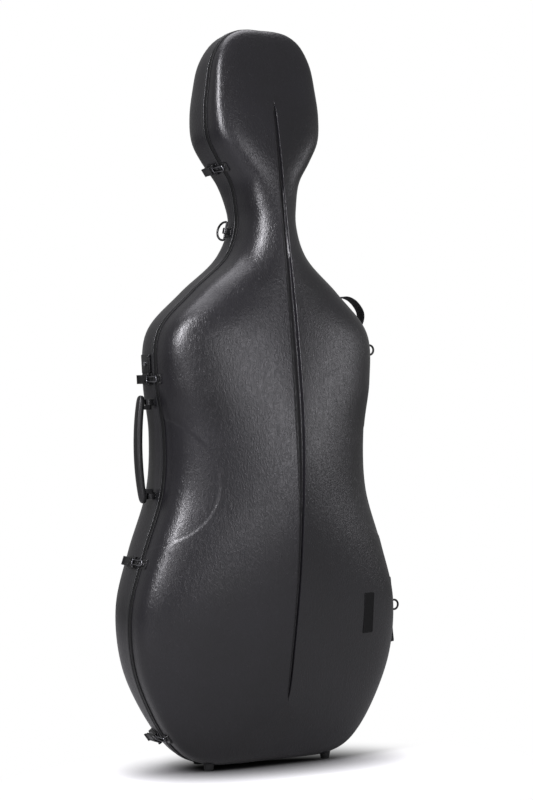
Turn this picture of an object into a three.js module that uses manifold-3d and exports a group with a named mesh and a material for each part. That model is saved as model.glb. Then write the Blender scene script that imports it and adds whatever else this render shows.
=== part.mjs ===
// A hard case for a cello: a base shell and a ridged lid shell that meet at a rimmed parting line.
// Millimetres, +Z up. The lid faces -Y, the carry handle and latches are at -X, the hinges at +X.
import * as THREE from "three";
import { mergeVertices } from "three/addons/utils/BufferGeometryUtils.js";
import Module from "manifold-3d";

const wasm = await Module();
wasm.setup();

// Driving sizes of the whole case
const caseHeight = 1325;
const lowerBoutHalfWidth = 266;
const lidShoulderDepth = 78;
const ridgeRise = 73;
const baseDepth = 140;
const wallThickness = 3.2;

// Clearances and the overrun of cuts
const seatGap = 0.3;
const runningGap = 0.4;
const overrun = 8;

// Half outline at the parting plane, from the bottom centre up to the top centre:
// [share of lowerBoutHalfWidth, share of caseHeight]
const outlineShares = [
  [0, 0],
  [0.25, 0],
  [0.45, 0.002],
  [0.6, 0.012],
  [0.72, 0.033],
  [0.862, 0.078],
  [0.98, 0.14],
  [1, 0.215],
  [0.895, 0.29],
  [0.763, 0.37],
  [0.748, 0.45],
  [0.8, 0.52],
  [0.782, 0.585],
  [0.53, 0.64],
  [0.256, 0.69],
  [0.182, 0.73],
  [0.19, 0.76],
  [0.224, 0.79],
  [0.32, 0.82],
  [0.4, 0.85],
  [0.417, 0.885],
  [0.4, 0.92],
  [0.366, 0.957],
  [0.29, 0.984],
  [0.2, 0.996],
  [0.1, 1],
  [0, 1],
];
const outlineSteps = 40;

// Depths along the height: [share of caseHeight, share of the depth named in the table]
const lidDepthShares = [
  [0, 0.73],
  [0.05, 0.76],
  [0.12, 0.83],
  [0.25, 0.97],
  [0.4, 0.99],
  [0.6, 0.99],
  [0.68, 0.94],
  [0.79, 0.85],
  [0.84, 0.78],
  [0.9, 0.64],
  [0.96, 0.47],
  [1, 0.36],
];
const ridgeShares = [
  [0, 0.16],
  [0.15, 0.65],
  [0.4, 1],
  [0.65, 0.54],
  [0.8, 0.23],
  [1, 0],
];
const baseDepthShares = [
  [0, 0.34],
  [0.05, 0.56],
  [0.12, 0.82],
  [0.25, 1],
  [0.4, 0.92],
  [0.6, 0.75],
  [0.68, 0.52],
  [0.74, 0.36],
  [0.79, 0.57],
  [0.84, 0.76],
  [0.9, 0.76],
  [0.96, 0.64],
  [1, 0.43],
];

// Where the rings of a shell lie between the rim and the spine, as shares of that distance
const lidRingShares = [0, 0.005, 0.03, 0.1, 0.25, 0.55];
const baseRingShares = [0, 0.006, 0.035, 0.1, 0.22, 0.45, 1];
const insideRingShares = [0, 0.02, 0.12, 0.4, 1];
const spineLowShare = 0.085;
const spineHighShare = 0.94;
const lidSquareness = 4.1;
const baseSquareness = 3.3;
const ridgeRoundness = 1.2;

// Groove pressed into the lid's ridge
const grooveTop = 0.899 * caseHeight;
const grooveBottom = 0.089 * caseHeight;
const grooveHalfWidth = 6.3;
const grooveDepth = 5;
const grooveEndHalfWidth = 1.6;
const grooveFloorShare = 0.4;
const grooveWidthShares = [
  [0, 0],
  [0.08, 0.55],
  [0.3, 1],
  [0.5, 0.95],
  [0.75, 0.6],
  [0.93, 0.35],
  [1, 0],
];

// Round recess pressed into the lid at each side of the waist
const recessHeight = 0.38 * caseHeight;
const recessRadius = 118;
const recessDepth = 1.6;
const recessSides = 40;
const recessBands = 20;

// Blank plate on the lower right of the lid
const badgeHeight = 0.1985 * caseHeight;
const badgeAcross = 0.665 * lowerBoutHalfWidth;
const badgeWidth = 25;
const badgeLength = 74;
const badgeThickness = 1;

// Rims and the seal between them
const sealHalfThickness = 1.2;
const sealOuterInset = 0.5;
const sealInnerInset = 6;
const rimHeight = 8;
const rimProud = 1.5;
const rimInnerInset = 8;
const rimFace = sealHalfThickness + seatGap;
const shellEdge = rimFace + rimHeight + seatGap;

// Padded linings and the fittings cut to them
const liningThickness = 10;
const liningSlack = 0.5;
const liningInset = wallThickness + liningSlack;
const cavityInset = liningInset + liningThickness + seatGap;
const liningEdge = shellEdge + seatGap;

// Feet
const footRadius = 8;
const footFlare = 2.5;
const footHeight = 8;
const frontFootAcross = 0.459 * lowerBoutHalfWidth;
const rearFootAcross = 0.395 * lowerBoutHalfWidth;
const frontFootBack = 24;
const rearFootBack = 48;
const footSides = 16;

// Hinge line and hinges
const hingeLineTop = 0.558 * caseHeight;
const hingeLineBottom = 0.198 * caseHeight;
const hingeLineOut = 8;
const hingeHeightShares = [0.533, 0.227, 0.167];
const hingeLength = 42;
const hingeKnuckleRadius = 4.5;
const hingePinRadius = 2;
const hingeLeafReach = 34;
const hingeLeafThickness = 2.5;
const boreSides = 8;
const noseSteps = 6;

// Latches on the left edge, the first is the lowest
const latchHeightShares = [0.041, 0.276, 0.522, 0.8105];
const latchNames = ["bottom", "lower", "shoulder", "head"];
const latchHalfWidth = 10.5;
const latchEarThickness = 1.5;
const latchPlateEnd = 46;
const latchPlateTop = 2.5;
const latchPinBack = 16;
const latchPinOut = 6;
const latchPinRadius = 1.5;
const latchEarRadius = 3.5;
const latchCheekThickness = 1.5;
const latchCheekOuter = 8;
const latchCheekRadius = 3;
const latchLeverEnd = 47;
const latchLeverTop = 8.5;
const latchLeverSkin = 1.5;
const latchLeverFront = 28.5;
const latchLipRise = 2.5;
const latchLipLength = 5;
const bailBack = 24;
const bailOut = 5;
const bailFront = -13;
const bailHalfWidth = 4.5;
const bailWireRadius = 1.1;
const bailCorner = 2.5;
const keeperHalfWidth = 9;
const keeperEnd = 24;
const keeperTop = 2;
const keeperLipHalfWidth = 3;
const keeperLipStart = 11.5;
const keeperLipEnd = 17;
const wireSides = 6;

// Lock on a raised block over the shoulder latch
const lockBlockLength = 34;
const lockBlockFront = 13;
const lockBlockEnd = 44;
const lockBlockTop = 4;
const lockAlong = latchHalfWidth + lockBlockLength / 2;
const lockBack = (lockBlockFront + lockBlockEnd) / 2;
const lockRadius = 4;
const lockRise = 3.5;
const lockSeatDepth = 1.2;
const keySlotWidth = 1.2;
const keySlotLength = 5;
const keySlotDepth = 1.5;

// Carry handle
const handleHeight = 0.428 * caseHeight;
const handleBack = 24;
const handlePivotOut = 16.5;
const handleGripOut = 38;
const handleEndOut = 29.5;
const handleHalfLength = 96;
const gripHalfWidth = 9;
const gripHalfThickness = 6.5;
const gripCorner = 3.5;
const gripSteps = 14;
const bracketSpan = 84;
const bracketHalfThickness = 5;
const bracketNoseRadius = 6.5;
const lugHalfThickness = 4;
const lugRadius = 6.5;
const lugPinRadius = 3;

// Rings for the carrying strap, on their bars
const ringBack = 18;
const ringBarOut = 9;
const ringWireRadius = 2;
const ringReach = 38;
const ringHalfWidth = 9;
const neckRingReach = 20;
const neckRingHalfWidth = 17;
const neckRingTurn = -72;
const neckRingHeight = 0.724 * caseHeight;
const upperRingHeight = 0.562 * caseHeight;
const lowerRingHeight = 0.197 * caseHeight;
const ringLugRadius = 5.5;
const ringLugHalfWidth = 5;
const ringPlateTop = 2.2;
const ringPlateHalfLength = 9;
const ringPlateFront = 10.2;
const ringPlateEnd = 34;

// Webbing grab loop at the upper right, and its route:
// [share of strapHalfSpan up the edge, share of strapReach out of the plate]
const strapBack = 25;
const strapHalfWidth = 12.5;
const strapThickness = 2.5;
const strapHalfSpan = 38;
const strapReach = 46;
const strapRouteShares = [
  [1, 0],
  [1, 0.12],
  [0.92, 0.42],
  [0.7, 0.76],
  [0.32, 0.95],
  [-0.1, 1],
  [-0.53, 0.93],
  [-0.8, 0.71],
  [-0.94, 0.38],
  [-1, 0.12],
  [-1, 0],
];
const strapPlateHalfLength = 44;
const strapPlateTop = 2;
const strapPlateClearance = 4;
const strapHeight = upperRingHeight + ringPlateHalfLength + strapPlateClearance + strapPlateHalfLength;

// Fittings inside the base
const neckRestHeight = 0.728 * caseHeight;
const neckRestHalfLength = 24;
const neckRestHalfWidth = 30;
const neckNotchRadius = 17;
const neckNotchSides = 20;
const neckStrapThickness = 1.8;
const neckStrapHalfWidth = 12;
const neckStrapSpan = 27;
const neckStrapFront = 2.5;
// Half of the strap's path: [share of neckStrapSpan, share of its rise from the rest to the front]
const neckStrapShares = [
  [1, 0],
  [0.88, 0],
  [0.6, 1],
];
const sidePadThickness = 22;
const sidePadHeight = 0.2 * caseHeight;
const sidePadHalfLength = 60;
const sidePadEnd = 74;
const endBlockHalfWidth = 60;
const endBlockTop = 58;
const endBlockEnd = 88;
const fittingFront = 12;
const pocketLow = 0.628 * caseHeight;
const pocketLength = 60;
const pocketHigh = pocketLow + pocketLength;
const pocketInner = 34;
const pocketWall = 3;
const pocketFlapThickness = 2.2;

// Bow holders inside the lid
const bowHeight = 0.604 * caseHeight;
const bowAcross = 0.282 * lowerBoutHalfWidth;
const bowRestHalfWidth = 14;
const bowRestHalfLength = 15;
const bowRestLift = 10;
const bowRestFront = lidShoulderDepth - bowRestLift;
const bowNotchRadius = 6;
const buttonHalfLength = 19;
const buttonHalfWidth = 6;
const buttonThickness = 4;
const buttonPinRadius = 2.5;
const buttonPinLength = 8;
const buttonAcross = 9;

// A material of one colour, roughness and metalness.
function finish(colour, roughness, metalness) {
  return new THREE.MeshStandardMaterial({ color: colour, roughness, metalness });
}

const shellFinish = () => finish(0x34343a, 0.5, 0);
const rimFinish = () => finish(0x2a2a2d, 0.4, 0.1);
const rubberFinish = () => finish(0x141415, 0.8, 0);
const blackMetalFinish = () => finish(0x1b1b1d, 0.4, 0.7);
const brightMetalFinish = () => finish(0xb9babd, 0.25, 1);
const plushFinish = () => finish(0x2b2c33, 0.95, 0);
const webbingFinish = () => finish(0x17171a, 0.85, 0);
const plasticFinish = () => finish(0x1c1c1e, 0.45, 0);

const caseGroup = new THREE.Group();

// Adds one named piece to a group.
function addPiece(group, name, geometry, material) {
  const mesh = new THREE.Mesh(geometry, material);
  mesh.name = name;
  group.add(mesh);
  return mesh;
}

// A geometry with shared vertices, and without the triangles that a shared vertex closes up.
function shared(geometry) {
  const bare = geometry.clone();
  bare.deleteAttribute("normal");
  bare.deleteAttribute("uv");
  const merged = mergeVertices(bare);
  const index = merged.getIndex().array;
  const kept = [];
  for (let i = 0; i < index.length; i += 3) {
    const [a, b, c] = [index[i], index[i + 1], index[i + 2]];
    if (a !== b && b !== c && a !== c) kept.push(a, b, c);
  }
  merged.setIndex(kept);
  return merged;
}

// A closed geometry as a solid.
function solidOf(geometry) {
  const merged = shared(geometry);
  const vertProperties = new Float32Array(merged.getAttribute("position").array);
  const triVerts = new Uint32Array(merged.getIndex().array);
  const mesh = new wasm.Mesh({ numProp: 3, vertProperties, triVerts });
  return new wasm.Manifold(mesh);
}

// A solid as a geometry.
function geometryOf(solid) {
  const mesh = solid.getMesh();
  const geometry = new THREE.BufferGeometry();
  const positions = new THREE.BufferAttribute(new Float32Array(mesh.vertProperties), 3);
  geometry.setAttribute("position", positions);
  geometry.setIndex(new THREE.BufferAttribute(new Uint32Array(mesh.triVerts), 1));
  geometry.computeVertexNormals();
  return geometry;
}

// Six times the volume inside a list of triangles, negative where their faces point inwards.
function signedVolume(points, triangles) {
  let sum = 0;
  for (let i = 0; i < triangles.length; i += 3) {
    const [a, b, c] = [0, 1, 2].map((k) => points[triangles[i + k]]);
    sum += a.dot(b.clone().cross(c));
  }
  return sum;
}

// A closed geometry from points and triangles, with its faces turned outwards.
function meshed(points, triangles) {
  const geometry = new THREE.BufferGeometry();
  geometry.setFromPoints(points);
  if (signedVolume(points, triangles) < 0) triangles.reverse();
  geometry.setIndex(triangles);
  return geometry;
}

// A box between two corners.
function block(low, high) {
  const size = high.map((value, i) => value - low[i]);
  const centre = high.map((value, i) => (value + low[i]) / 2);
  return new THREE.BoxGeometry(...size).translate(...centre);
}

// A cylinder whose axis runs along local X, between two places on it.
function rodAlongX(radius, from, to, sides, y, z) {
  const rod = new THREE.CylinderGeometry(radius, radius, to - from, sides);
  return rod.rotateZ(Math.PI / 2).translate((from + to) / 2, y, z);
}

// An outline in local Y and Z, extruded along local X between two places.
function profileAlongX(points, from, to) {
  const shape = new THREE.Shape(points.map(([y, z]) => new THREE.Vector2(y, z)));
  const body = new THREE.ExtrudeGeometry(shape, { depth: to - from, bevelEnabled: false });
  const turn = new THREE.Matrix4().set(0, 0, 1, from, 1, 0, 0, 0, 0, 1, 0, 0, 0, 0, 0, 1);
  return body.applyMatrix4(turn);
}

// Smooth value of a table of [share of the height, share of the size] at a height.
function valueAt(shares, size, share) {
  const last = shares.length - 1;
  const s = THREE.MathUtils.clamp(share, shares[0][0], shares[last][0]);
  let i = 0;
  while (i < last - 1 && s > shares[i + 1][0]) i += 1;
  const slope = (j, k) => (shares[k][1] - shares[j][1]) / (shares[k][0] - shares[j][0]);
  const span = shares[i + 1][0] - shares[i][0];
  const t = (s - shares[i][0]) / span;
  const startSlope = slope(Math.max(i - 1, 0), i + 1) * span;
  const endSlope = slope(i, Math.min(i + 2, last)) * span;
  const [a, b] = [shares[i][1], shares[i + 1][1]];
  const square = -3 * a + 3 * b - 2 * startSlope - endSlope;
  const cube = 2 * a - 2 * b + startSlope + endSlope;
  return size * (a + startSlope * t + square * t ** 2 + cube * t ** 3);
}

// The right half of the outline, as a smooth curve in the XZ plane.
const outlineCurve = new THREE.CatmullRomCurve3(
  outlineShares.map(([x, z]) => new THREE.Vector3(x * lowerBoutHalfWidth, 0, z * caseHeight)),
  false,
  "centripetal",
);

// Points of the right half with their outward normals, from bottom to top.
function halfOutline(steps) {
  return Array.from({ length: steps + 1 }, (_, i) => {
    const tangent = outlineCurve.getTangent(i / steps);
    const atEnd = i === 0 || i === steps;
    const normal = new THREE.Vector3(tangent.z, 0, -tangent.x).normalize();
    if (atEnd) normal.set(0, 0, i === 0 ? -1 : 1);
    return { point: outlineCurve.getPoint(i / steps), normal };
  });
}

// The whole closed outline: up the right side and down the left side.
function fullOutline(steps) {
  const right = halfOutline(steps);
  const flip = new THREE.Vector3(-1, 1, 1);
  const mirrored = ({ point, normal }) => ({
    point: point.clone().multiply(flip),
    normal: normal.clone().multiply(flip),
  });
  return right.concat(right.slice(1, -1).reverse().map(mirrored));
}

const outline = fullOutline(outlineSteps);
const fineOutline = halfOutline(outlineSteps * 8);

// Place and outward normal on the outline at a height, on the right side or the left.
function outlineAt(height, side) {
  const next = fineOutline.findIndex(({ point }) => point.z > height);
  const [a, b] = [fineOutline[next - 1], fineOutline[next]];
  const t = (height - a.point.z) / (b.point.z - a.point.z);
  const flip = new THREE.Vector3(side, 1, 1);
  const point = a.point.clone().lerp(b.point, t).multiply(flip);
  const normal = a.normal.clone().lerp(b.normal, t).normalize().multiply(flip);
  return { point, normal };
}

// The two shells' forms.
const lidForm = {
  side: -1,
  squareness: lidSquareness,
  rings: lidRingShares,
  depths: lidDepthShares,
  depth: lidShoulderDepth,
  ridge: ridgeRise,
  grooved: true,
  spineDrop: 0,
};
const baseForm = {
  side: 1,
  squareness: baseSquareness,
  rings: baseRingShares,
  depths: baseDepthShares,
  depth: baseDepth,
  ridge: 0,
  grooved: false,
  spineDrop: 0,
};

// How wide the groove is at a height, as a share of its full width.
function grooveShareAt(height) {
  const share = (height - grooveBottom) / (grooveTop - grooveBottom);
  return share <= 0 || share >= 1 ? 0 : Math.max(valueAt(grooveWidthShares, 1, share), 0);
}

// One point of a form's surface. Reach is 0 at the rim and 1 on the spine.
function formPoint(form, rimPoint, inset, edge, reach) {
  const spineHeight = THREE.MathUtils.clamp(
    rimPoint.z,
    spineLowShare * caseHeight,
    spineHighShare * caseHeight,
  );
  const point = rimPoint.clone().lerp(new THREE.Vector3(0, 0, spineHeight), reach);
  const rise = (1 - (1 - reach) ** form.squareness) ** (1 / form.squareness);
  const share = point.z / caseHeight;
  const wall = valueAt(form.depths, form.depth, share) - inset - edge;
  const ridge = valueAt(ridgeShares, form.ridge, share) * (1 - (1 - reach) ** ridgeRoundness);
  const drop = reach < 1 ? 0 : form.spineDrop;
  point.y = form.side * (edge + wall * rise + ridge - drop);
  return point;
}

// The rings of one outline point: the skirt's end, those of the form, then the groove's.
function formRow(form, { point, normal }, inset, edge, skirt) {
  const rimPoint = point.clone().addScaledVector(normal, -inset);
  const row = form.rings.map((reach) => formPoint(form, rimPoint, inset, edge, reach));
  if (skirt > 0) row.unshift(rimPoint.clone().setY(form.side * (edge - skirt)));
  if (!form.grooved) return row;
  const spine = formPoint(form, rimPoint, inset, edge, 1);
  const span = Math.hypot(rimPoint.x, rimPoint.z - spine.z);
  const share = grooveShareAt(spine.z);
  const halfWidth = Math.max(grooveHalfWidth * share, grooveEndHalfWidth);
  const edgePoint = formPoint(form, rimPoint, inset, edge, 1 - halfWidth / span);
  const floorPoint = formPoint(form, rimPoint, inset, edge, 1 - (grooveFloorShare * halfWidth) / span);
  floorPoint.y -= form.side * grooveDepth * share;
  spine.y -= form.side * grooveDepth * share;
  return row.concat([edgePoint, floorPoint, spine]);
}

// The body inside a form's surface, set in by an inset and cut flat at the parting side. A skirt
// carries it straight on past its edge.
function formSolid(form, inset, edge, skirt = 0) {
  const rows = outline.map((station) => formRow(form, station, inset, edge, skirt));
  const ringCount = rows[0].length;
  const triangles = [];
  const quad = (a, b, c, d) => triangles.push(a, b, c, a, c, d);
  const count = rows.length;
  for (let i = 0; i < count; i += 1) {
    const next = (i + 1) % count;
    for (let k = 0; k < ringCount - 1; k += 1) {
      quad(i * ringCount + k, i * ringCount + k + 1, next * ringCount + k + 1, next * ringCount + k);
    }
  }
  for (let i = 0; i < count / 2; i += 1) {
    const [left, nextLeft] = [(count - i) % count, count - i - 1];
    quad(i * ringCount, (i + 1) * ringCount, nextLeft * ringCount, left * ringCount);
  }
  return solidOf(meshed(rows.flat(), triangles));
}

// The inside of a form: fewer rings, and no groove but a spine that lies as deep as its floor.
function insideOf(form) {
  const spineDrop = form.grooved ? grooveDepth : 0;
  return { ...form, rings: insideRingShares, grooved: false, spineDrop };
}

// A closed ring with a section of [outward, backward] points, swept round the outline.
function outlineRing(section) {
  const rows = outline.map(({ point, normal }) =>
    section.map(([out, back]) => {
      const place = point.clone().addScaledVector(normal, out);
      return place.setY(back);
    }),
  );
  return loopOf(rows);
}

// A closed loop of sections joined end to end, with the side given by the order of its points.
function loopOf(rows) {
  const sides = rows[0].length;
  const triangles = [];
  rows.forEach((_, i) => {
    const next = (i + 1) % rows.length;
    for (let k = 0; k < sides; k += 1) {
      const after = (k + 1) % sides;
      const [a, b] = [i * sides + k, i * sides + after];
      const [c, d] = [next * sides + after, next * sides + k];
      triangles.push(a, b, c, a, c, d);
    }
  });
  return meshed(rows.flat(), triangles);
}

// A round wire bent into a closed loop in a plane of local X and Y, at a height along local Z.
function wireLoop(path, radius, height) {
  const count = path.length;
  const rows = path.map(([x, y], i) => {
    const [px, py] = path[(i + count - 1) % count];
    const [nx, ny] = path[(i + 1) % count];
    const before = new THREE.Vector2(x - px, y - py).normalize();
    const after = new THREE.Vector2(nx - x, ny - y).normalize();
    const along = before.clone().add(after).normalize();
    const stretch = 1 / Math.max(along.dot(after), 0.5);
    const across = new THREE.Vector2(along.y, -along.x).multiplyScalar(stretch);
    return Array.from({ length: wireSides }, (_, k) => {
      const angle = (2 * Math.PI * (k + 0.5)) / wireSides;
      const out = radius * Math.cos(angle);
      return new THREE.Vector3(x + across.x * out, y + across.y * out, height + radius * Math.sin(angle));
    });
  });
  return loopOf(rows);
}

// A strip of constant section swept along an open path of local X and Z, with closed ends.
function stripAlong(path, section) {
  const last = path.length - 1;
  const rows = path.map(([x, z], i) => {
    const [ax, az] = path[Math.max(i - 1, 0)];
    const [bx, bz] = path[Math.min(i + 1, last)];
    const along = new THREE.Vector2(bx - ax, bz - az).normalize();
    return section.map(([out, back]) => new THREE.Vector3(x - along.y * out, back, z + along.x * out));
  });
  const sides = section.length;
  const triangles = [];
  for (let i = 0; i < last; i += 1) {
    for (let k = 0; k < sides; k += 1) {
      const after = (k + 1) % sides;
      const [a, b] = [i * sides + k, i * sides + after];
      triangles.push(a, b, b + sides, a, b + sides, a + sides);
    }
  }
  for (let k = 1; k < sides - 1; k += 1) {
    triangles.push(0, k + 1, k);
    triangles.push(last * sides, last * sides + k, last * sides + k + 1);
  }
  return meshed(rows.flat(), triangles);
}

// An axis-aligned oblong section with cut corners.
function oblongSection(halfThickness, halfWidth, corner) {
  const [a, b] = [halfThickness, halfWidth];
  return [
    [a, -b + corner],
    [a, b - corner],
    [a - corner, b],
    [-a + corner, b],
    [-a, b - corner],
    [-a, -b + corner],
    [-a + corner, -b],
    [a - corner, -b],
  ];
}

// A group seated on the outline: local X along the edge, local Y to the back, local Z outward.
function seatGroup(height, side) {
  const { point, normal } = outlineAt(height, side);
  const back = new THREE.Vector3(0, 1, 0);
  const along = back.clone().cross(normal);
  const group = new THREE.Group();
  group.applyMatrix4(new THREE.Matrix4().makeBasis(along, back, normal).setPosition(point));
  caseGroup.add(group);
  group.updateMatrixWorld(true);
  return group;
}

// A local solid with the ground cut away from it, as a solid in the group's own frame.
function seatedOn(group, solid, ground) {
  const placed = geometryOf(solid).applyMatrix4(group.matrixWorld);
  const cut = geometryOf(solidOf(placed).subtract(ground));
  return solidOf(cut.applyMatrix4(group.matrixWorld.clone().invert()));
}

// A section that holds both rims and the gap that what lies on them keeps.
function rimGroundSection() {
  const out = rimProud + seatGap;
  return [[-rimInnerInset, -shellEdge], [out, -shellEdge], [out, shellEdge], [-rimInnerInset, shellEdge]];
}

// The two shells' outsides, and the ground that the fittings on them are cut to.
const lidOuter = formSolid(lidForm, 0, shellEdge);
const baseOuter = formSolid(baseForm, 0, shellEdge);
const rimGround = solidOf(outlineRing(rimGroundSection()));
const lidGround = formSolid(lidForm, -seatGap, shellEdge).add(rimGround);
const baseGround = formSolid(baseForm, -seatGap, shellEdge).add(rimGround);

// The part of a solid that lies between two corners.
function within(solid, low, high) {
  return solid.intersect(solidOf(block(low, high)));
}

// The hollow shell of a form.
function shellOf(form, outer) {
  return outer.subtract(formSolid(insideOf(form), wallThickness, shellEdge, overrun));
}

// The layer pressed into the lid at one side of the waist, inside a sphere round the waist's edge.
function recessLayer(side) {
  const ball = new THREE.SphereGeometry(recessRadius, recessSides, recessBands);
  const { point } = outlineAt(recessHeight, side);
  ball.translate(...point.toArray());
  const skin = formSolid(lidForm, -overrun, shellEdge, overrun);
  return skin.subtract(formSolid(lidForm, recessDepth, shellEdge, 2 * overrun)).intersect(solidOf(ball));
}

function addShells() {
  let lid = shellOf(lidForm, lidOuter);
  for (const side of [1, -1]) lid = lid.subtract(recessLayer(side));
  addPiece(caseGroup, "lid_shell", geometryOf(lid), shellFinish());
  addPiece(caseGroup, "base_shell", geometryOf(shellOf(baseForm, baseOuter)), shellFinish());
}

// The plate lies on the lid as a thin layer of its surface.
function addBadgePlate() {
  const layer = formSolid(lidForm, -seatGap - badgeThickness, shellEdge);
  const low = [badgeAcross - badgeWidth / 2, -lidShoulderDepth - ridgeRise, badgeHeight - badgeLength / 2];
  const high = [badgeAcross + badgeWidth / 2, 0, badgeHeight + badgeLength / 2];
  const plate = within(layer.subtract(lidGround), low, high);
  addPiece(caseGroup, "badge_plate", geometryOf(plate), blackMetalFinish());
}

// A rim's section, on the back side of the parting plane or the front side.
function rimSection(side) {
  const [low, high] = [side * rimFace, side * (rimFace + rimHeight)];
  return [[-rimInnerInset, low], [-rimInnerInset, high], [rimProud, high], [rimProud, low]];
}

function addRims() {
  addPiece(caseGroup, "base_rim", outlineRing(rimSection(1)), rimFinish());
  addPiece(caseGroup, "lid_rim", outlineRing(rimSection(-1)), rimFinish());
  const seal = [
    [-sealOuterInset, -sealHalfThickness],
    [-sealOuterInset, sealHalfThickness],
    [-sealInnerInset, sealHalfThickness],
    [-sealInnerInset, -sealHalfThickness],
  ];
  addPiece(caseGroup, "rim_seal", outlineRing(seal), rubberFinish());
}

function addLinings() {
  for (const [name, form] of [["lid_lining", lidForm], ["base_lining", baseForm]]) {
    const outer = formSolid(insideOf(form), liningInset, liningEdge);
    const inner = formSolid(insideOf(form), liningInset + liningThickness, liningEdge, overrun);
    addPiece(caseGroup, name, geometryOf(outer.subtract(inner)), plushFinish());
  }
}

// Four rubber feet, two under each shell, cut to the shell's bottom.
function addFeet() {
  const places = [
    ["foot_lid_left", -frontFootAcross, -frontFootBack, lidGround],
    ["foot_lid_right", frontFootAcross, -frontFootBack, lidGround],
    ["foot_base_left", -rearFootAcross, rearFootBack, baseGround],
    ["foot_base_right", rearFootAcross, rearFootBack, baseGround],
  ];
  const length = footHeight + 4 * overrun;
  const reach = footRadius + footFlare + overrun;
  for (const [name, x, y, ground] of places) {
    const foot = new THREE.CylinderGeometry(footRadius + footFlare, footRadius, length, footSides);
    foot.rotateX(Math.PI / 2).translate(x, y, length / 2 - footHeight);
    const body = solidOf(foot).subtract(ground);
    const low = [x - reach, y - reach, -footHeight];
    const high = [x + reach, y + reach, 2.5 * overrun];
    const cut = within(body, low, high).decompose();
    cut.sort((a, b) => lowestOf(a) - lowestOf(b));
    addPiece(caseGroup, name, geometryOf(cut[0]), rubberFinish());
  }
}

// The lowest height that a solid reaches.
function lowestOf(solid) {
  return solid.boundingBox().min[2];
}

// Two places on the hinge line, which touches the upper and the lower bout.
function hingeLine() {
  return [hingeLineBottom, hingeLineTop].map((height) => {
    const { point } = outlineAt(height, 1);
    return point.clone().add(new THREE.Vector3(hingeLineOut, 0, 0));
  });
}

// A group on the hinge line: local X along it downwards, local Y to the back, local Z outward.
function hingeGroup(height) {
  const [low, high] = hingeLine();
  const up = high.clone().sub(low).normalize();
  const place = low.clone().addScaledVector(up, (height - low.z) / up.z);
  const down = up.clone().negate();
  const back = new THREE.Vector3(0, 1, 0);
  const group = new THREE.Group();
  const basis = new THREE.Matrix4().makeBasis(down, back, down.clone().cross(back));
  group.applyMatrix4(basis.setPosition(place));
  caseGroup.add(group);
  group.updateMatrixWorld(true);
  return { group, drop: place.x - outlineAt(height, 1).point.x };
}

// One leaf of a hinge: a plate on the shell's side and webs up to its knuckles.
function hingeLeaf(group, drop, side, spans, ground) {
  const foot = -drop + rimProud + seatGap;
  const plateTop = -drop + hingeLeafThickness;
  const half = hingeLength / 2;
  const turned = (points) => {
    const placed = points.map(([y, z]) => [side * y, z]);
    return side > 0 ? placed : placed.reverse();
  };
  const plate = turned([
    [liningEdge, foot],
    [liningEdge, -drop - overrun],
    [hingeLeafReach, -drop - overrun],
    [hingeLeafReach, plateTop - hingeLeafThickness / 2],
    [liningEdge + hingeLeafThickness, plateTop + hingeLeafThickness],
  ]);
  const web = turned([
    [0, -hingeKnuckleRadius + hingeLeafThickness / 2],
    [liningEdge, foot],
    [liningEdge + hingeLeafThickness, plateTop],
    [liningEdge + hingeLeafThickness, plateTop + hingeLeafThickness],
    [0, hingeKnuckleRadius],
  ]);
  let leaf = solidOf(profileAlongX(plate, -half, half));
  for (const [from, to] of spans) {
    leaf = leaf.add(solidOf(profileAlongX(web, from, to)));
    leaf = leaf.add(solidOf(rodAlongX(hingeKnuckleRadius, from, to, boreSides, 0, 0)));
  }
  const bore = rodAlongX(hingePinRadius + seatGap, -half - overrun, half + overrun, boreSides, 0, 0);
  return geometryOf(seatedOn(group, leaf.subtract(solidOf(bore)), ground));
}

function addHinges() {
  const half = hingeLength / 2;
  const third = hingeLength / 6;
  hingeHeightShares.forEach((share, i) => {
    const { group, drop } = hingeGroup(share * caseHeight);
    const outer = [[-half, -third - seatGap], [third + seatGap, half]];
    const baseLeaf = hingeLeaf(group, drop, 1, outer, baseGround);
    const lidLeaf = hingeLeaf(group, drop, -1, [[-third, third]], lidGround);
    const pin = rodAlongX(hingePinRadius, -half, half, boreSides, 0, 0);
    addPiece(group, `hinge_${i + 1}_base_leaf`, baseLeaf, blackMetalFinish());
    addPiece(group, `hinge_${i + 1}_lid_leaf`, lidLeaf, blackMetalFinish());
    addPiece(group, `hinge_${i + 1}_pin`, pin, brightMetalFinish());
  });
}

// Both of a pair of pieces that mirror each other across local X = 0, as one solid.
function pairAcross(from, to, make) {
  return solidOf(make(from, to)).add(solidOf(make(-to, -from)));
}

// A round-nosed outline round a pivot, drawn out to an end.
function nosedOutline(back, out, radius, end, low, high) {
  const nose = Array.from({ length: noseSteps + 1 }, (_, i) => {
    const angle = Math.PI / 2 + (Math.PI * i) / noseSteps;
    return [back + radius * Math.cos(angle), out + radius * Math.sin(angle)];
  });
  return [[end, high], [back, high], ...nose.slice(1), [end, low]];
}

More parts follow.
